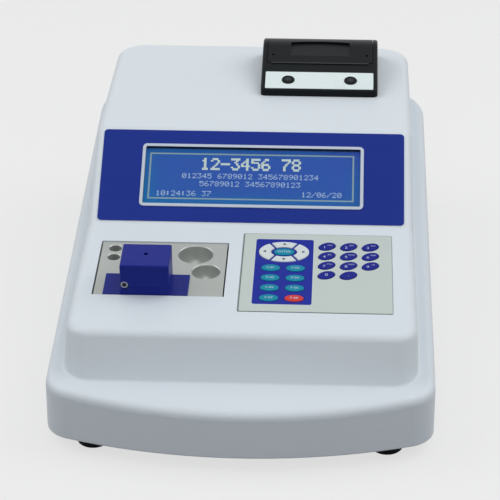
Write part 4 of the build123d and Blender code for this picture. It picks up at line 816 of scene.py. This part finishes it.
class ANALYZER_OT_block(bpy.types.Operator):
    """Heated block, measuring head and its fittings."""

    bl_idname = "analyzer.block"
    bl_label = "Heated block"

    def execute(self, context):
        looks = context.scene.analyzer_block
        dress(self.anodised(looks.block_colour), "heated_block")
        head = moulding(
            "head_moulding",
            looks.head_colour,
            grain=1800.0,
            relief=0.006 * MM,
            roughness=0.36,
            drift=0.06,
            specular=0.15,
        )
        dress(head, "head_base", "light_shield")
        dress(self.pin_head(), "shield_pin")
        dress(rubber("mat_silicone", (0.40, 0.09, 0.02), roughness=0.6), "heater_mat")
        dress(moulding("lamp_dome", (0.60, 0.62, 0.66), roughness=0.15), "beam_lamp")
        dress(moulding("sensor_dome", (0.02, 0.02, 0.05), roughness=0.15), "beam_sensor")
        return {"FINISHED"}

    def pin_head(self):
        """Steel pin; the middle of its head, over its socket, is painted dark, a painted shade of
        the socket.
        """
        finish = Finish("pin_steel", metallic=0.6, specular=0.3)
        x, _, z = finish.axes()
        across = x - PIN_HEAD.x
        rise = z - PIN_HEAD.z
        # Painted shade: dark inside the socket's radius, steel outside it
        outside_socket_shade = (((across * across + rise * rise) ** 0.5 - PIN_SOCKET_SHADE) / PIN_EDGE).held()
        fine = finish.noise(scale=1500.0, detail=2.0)
        finish.feed(
            base_color=finish.mix(outside_socket_shade, (0.03, 0.035, 0.06), (0.30, 0.31, 0.36)),
            roughness=0.3 + (fine - 0.5) * 0.1,
        )
        return finish.material

    def anodised(self, colour):
        """Bead-blasted and anodised aluminium: even satin with a soft cloud."""
        finish = Finish("block_anodised", metallic=0.45, specular=0.5)
        fine = finish.noise(scale=2600.0, detail=3.0, roughness=0.6)
        cloud = finish.noise(scale=25.0, detail=3.0)
        finish.feed(
            base_color=finish.mix(cloud, tinted(colour, -0.06), tinted(colour, 0.07)),
            roughness=0.36 + (fine - 0.5) * 0.16,
            normal=finish.bump(fine, 0.008 * MM),
        )
        return finish.material


class ANALYZER_OT_printer(bpy.types.Operator):
    """Printer frame, strip, buttons, paper cover and paper path."""

    bl_idname = "analyzer.printer"
    bl_label = "Printer"

    def execute(self, context):
        looks = context.scene.analyzer_printer
        dress(self.printer_shell(looks.printer_colour), "printer_frame")
        satin = moulding(
            "cover_satin",
            looks.cover_colour,
            grain=2200.0,
            relief=0.006 * MM,
            roughness=0.34,
            drift=0.05,
            specular=0.12,
        )
        dress(satin, "printer_door")
        dress(printed_film("strip_film", looks.strip_colour, roughness=0.34), "printer_strip")
        dress(self.button_cap(looks.printer_colour), "feed_button", "select_button")
        dress(rubber("platen_ground", (0.02, 0.02, 0.02), roughness=0.6), "platen_roller")
        dress(self.wound_paper(looks.paper_colour), "paper_roll")
        mechanism = moulding("mechanism_moulding", (0.045, 0.048, 0.052), roughness=0.45)
        dress(mechanism, "print_head")
        return {"FINISHED"}

    def printer_shell(self, colour):
        """Glossy black moulding; the top of the ridge before the paper slot is painted greyer, a
        painted highlight along it.
        """
        finish = Finish("printer_gloss", specular=0.1)
        _, up, out = finish.on_face(PRINTER_CORNER, PRINTER_SLOPE)
        # Painted highlight: a greyer band along the top of the ridge before the paper slot
        past = ((up - RIDGE[0]) / RIDGE_EDGE).held()
        before = ((RIDGE[1] - up) / RIDGE_EDGE).held()
        ridge_highlight = past * before * ((out - RIDGE_RISE) / RIDGE_EDGE).held()
        fine = finish.noise(scale=900.0, detail=2.0, roughness=0.6)
        cloud = finish.noise(scale=9.0, detail=3.0)
        tone = finish.mix(cloud, tinted(colour, -0.05), tinted(colour, 0.05))
        finish.feed(
            base_color=finish.mix(ridge_highlight, tone, (0.045, 0.047, 0.049)),
            roughness=0.3 + (fine - 0.5) * 0.16,
            normal=finish.bump(fine, 0.002 * MM),
        )
        return finish.material

    def button_cap(self, colour):
        """Black button whose middle is a greyer disc."""
        finish = Finish("button_cap", roughness=0.45, specular=0.15)
        right, up, _ = finish.on_face(PRINTER_CORNER, PRINTER_SLOPE)
        across = abs(right) - BUTTON_PLACE[0]
        along = up - BUTTON_PLACE[1]
        core = finish.rounded(across, along, BUTTON_CORE, BUTTON_CORE, BUTTON_CORE, SOFT_EDGE)
        fine = finish.noise(scale=2000.0, detail=2.0)
        finish.feed(
            base_color=finish.mix(core, tinted(colour, -0.6), tinted(colour, 4.0)),
            normal=finish.bump(fine, 0.01 * MM),
        )
        return finish.material

    def wound_paper(self, colour):
        """Paper roll: close rings on its ends, plain and faintly fibrous round its outside."""
        finish = Finish("paper_wound", roughness=0.75, specular=0.3)
        x, y, z = finish.axes()
        depth = y - ROLL_MIDDLE.y
        rise = z - ROLL_MIDDLE.z
        radius = (depth * depth + rise * rise) ** 0.5
        rings = (radius * ROLL_WAVES).wave() * 0.5 + 0.5
        end = ((abs(x - ROLL_MIDDLE.x) - ROLL_HALF) / ROLL_EDGE).held()
        fibre = finish.noise(scale=900.0, detail=3.0)
        tone = finish.mix(fibre, tinted(colour, -0.03), tinted(colour, 0.03))
        finish.feed(
            base_color=finish.mix(end * rings * 0.45, tone, tinted(colour, -0.35)),
            normal=finish.bump(fibre, 0.01 * MM),
        )
        return finish.material


class ANALYZER_OT_rear(bpy.types.Operator):
    """Mains inlet, switch and data port."""

    bl_idname = "analyzer.rear"
    bl_label = "Rear fittings"

    def execute(self, context):
        black = (0.012, 0.012, 0.013)
        dress(moulding("inlet_moulding", black, roughness=0.5), "power_inlet", "switch_frame")
        dress(moulding("rocker_gloss", (0.01, 0.01, 0.011), roughness=0.2), "power_rocker")
        dress(metal("port_shell", (0.50, 0.50, 0.48), roughness=0.28), "data_port")
        return {"FINISHED"}


class ANALYZER_OT_inside(bpy.types.Operator):
    """Boards and supply inside the case."""

    bl_idname = "analyzer.inside"
    bl_label = "Inside"

    def execute(self, context):
        dress(self.board(), "display_board", "keypad_board", "main_board")
        lengthwise = (500.0, 60.0, 500.0)
        supply = metal("supply_sheet", (0.52, 0.53, 0.54), roughness=0.35, stretch=lengthwise)
        dress(supply, "power_supply")
        return {"FINISHED"}

    def board(self):
        """Solder mask over copper tracks: lighter lines on a dark green ground."""
        finish = Finish("board_mask", roughness=0.3, specular=0.5)
        x, y, _ = finish.axes()
        lines = ((x * TRACK_WAVES[0]).wave() * (y * TRACK_WAVES[1]).wave()).above(0.0)
        patches = (finish.noise(scale=60.0, detail=1.0) * 6.0 - 3.0).held()
        tracks = (lines * patches * 2.0).held()
        finish.feed(base_color=finish.mix(tracks, (0.008, 0.075, 0.025), (0.02, 0.16, 0.06)))
        return finish.material


class ANALYZER_OT_stage(bpy.types.Operator):
    """Pale floor, soft lamps and the camera."""

    bl_idname = "analyzer.stage"
    bl_label = "Stage"

    def execute(self, context):
        looks = context.scene.analyzer_stage
        self.camera(looks.lens)
        self.floor(looks.floor_colour, looks.shade_colour)
        self.world(looks.floor_colour, looks.dome_level)
        for name, share, place in LAMPS:
            self.lamp(name, looks.lamp_power * share, Vector(place))
        context.scene.view_settings.view_transform = "Standard"
        return {"FINISHED"}

    def camera(self, lens):
        """The camera where the photograph was taken from."""
        data = bpy.data.cameras.new("camera")
        data.lens = lens
        data.sensor_width = CAMERA_SENSOR
        data.clip_end = CAMERA_REACH
        camera = put("camera", data)
        up = CAMERA_RIGHT.cross(CAMERA_AHEAD)
        turn = Matrix((CAMERA_RIGHT, up, -CAMERA_AHEAD)).transposed().to_4x4()
        camera.matrix_world = Matrix.Translation(CAMERA_PLACE) @ turn
        bpy.context.scene.camera = camera

    def floor(self, colour, shade):
        """One wide flat sheet. The camera, glass and metal see it pale, with a faint shadow."""
        mesh = bpy.data.meshes.new("floor")
        outside_socket_shade = ((-1, -1), (1, -1), (1, 1), (-1, 1))
        corners = [(x * FLOOR_REACH, y * FLOOR_REACH, 0.0) for x, y in outside_socket_shade]
        mesh.from_pydata(corners, [], [(0, 1, 2, 3)])
        finish = Finish("floor_paper", roughness=0.9, specular=0.0)
        cloud = finish.noise(scale=3.0, detail=2.0)
        finish.feed(base_color=finish.mix(cloud, tinted(shade, -0.01), tinted(shade, 0.01)))
        glow = finish.node("ShaderNodeEmission", inputs={0: solid(colour)})
        wash = finish.node("ShaderNodeBsdfDiffuse", inputs={0: solid(FLOOR_WASH)})
        veil = finish.node("ShaderNodeMixShader", inputs={0: SHADOW_SHARE, 1: glow, 2: wash})
        inputs = {0: finish.seen(), 1: finish.surface, 2: veil}
        finish.show(finish.node("ShaderNodeMixShader", inputs=inputs))
        mesh.materials.append(finish.material)
        put("floor", mesh)

    def world(self, colour, level):
        """Even light from all round. The camera, glass and metal see the floor's tone instead."""
        world = bpy.data.worlds.new("studio")
        bpy.context.scene.world = world
        world.use_nodes = True
        sky = Graph(world.node_tree, "ShaderNodeOutputWorld")
        soft = sky.node("ShaderNodeBackground", inputs={0: solid(SKY_COLOUR), 1: level})
        shown = sky.node("ShaderNodeBackground", inputs={0: solid(colour), 1: 1.0})
        inputs = {0: sky.seen(), 1: soft, 2: shown}
        sky.show(sky.node("ShaderNodeMixShader", inputs=inputs))

    def lamp(self, name, power, place):
        """A soft square lamp that faces the object."""
        data = bpy.data.lights.new(name, "AREA")
        data.energy = power
        data.size = LAMP_SIZE
        lamp = put(name, data)
        lamp.location = place
        lamp.rotation_euler = (place - LAMP_AIM).to_track_quat("Z", "Y").to_euler()


class ANALYZER_PT_parts(bpy.types.Panel):
    """Lists the operators in the sidebar."""

    bl_label = "Analyzer"
    bl_idname = "ANALYZER_PT_parts"
    bl_space_type = "VIEW_3D"
    bl_region_type = "UI"
    bl_category = "Analyzer"

    def draw(self, context):
        for operator in OPERATORS:
            self.layout.operator(operator.bl_idname)


LOOKS = (
    ("analyzer_case", CaseLooks),
    ("analyzer_panel", PanelLooks),
    ("analyzer_block", BlockLooks),
    ("analyzer_printer", PrinterLooks),
    ("analyzer_stage", StageLooks),
)
OPERATORS = (
    ANALYZER_OT_stage,
    ANALYZER_OT_case,
    ANALYZER_OT_display,
    ANALYZER_OT_digits,
    ANALYZER_OT_keypad,
    ANALYZER_OT_marks,
    ANALYZER_OT_block,
    ANALYZER_OT_printer,
    ANALYZER_OT_rear,
    ANALYZER_OT_inside,
)


def register():
    for name, group in LOOKS:
        bpy.utils.register_class(group)
        setattr(bpy.types.Scene, name, PointerProperty(type=group))
    for operator in OPERATORS:
        bpy.utils.register_class(operator)
    bpy.utils.register_class(ANALYZER_PT_parts)


def unregister():
    bpy.utils.unregister_class(ANALYZER_PT_parts)
    for operator in reversed(OPERATORS):
        bpy.utils.unregister_class(operator)
    for name, group in reversed(LOOKS):
        delattr(bpy.types.Scene, name)
        bpy.utils.unregister_class(group)


def main():
    register()
    for operator in OPERATORS:
        group, name = operator.bl_idname.split(".")
        getattr(getattr(bpy.ops, group), name)()


if __name__ == "__main__":
    main()
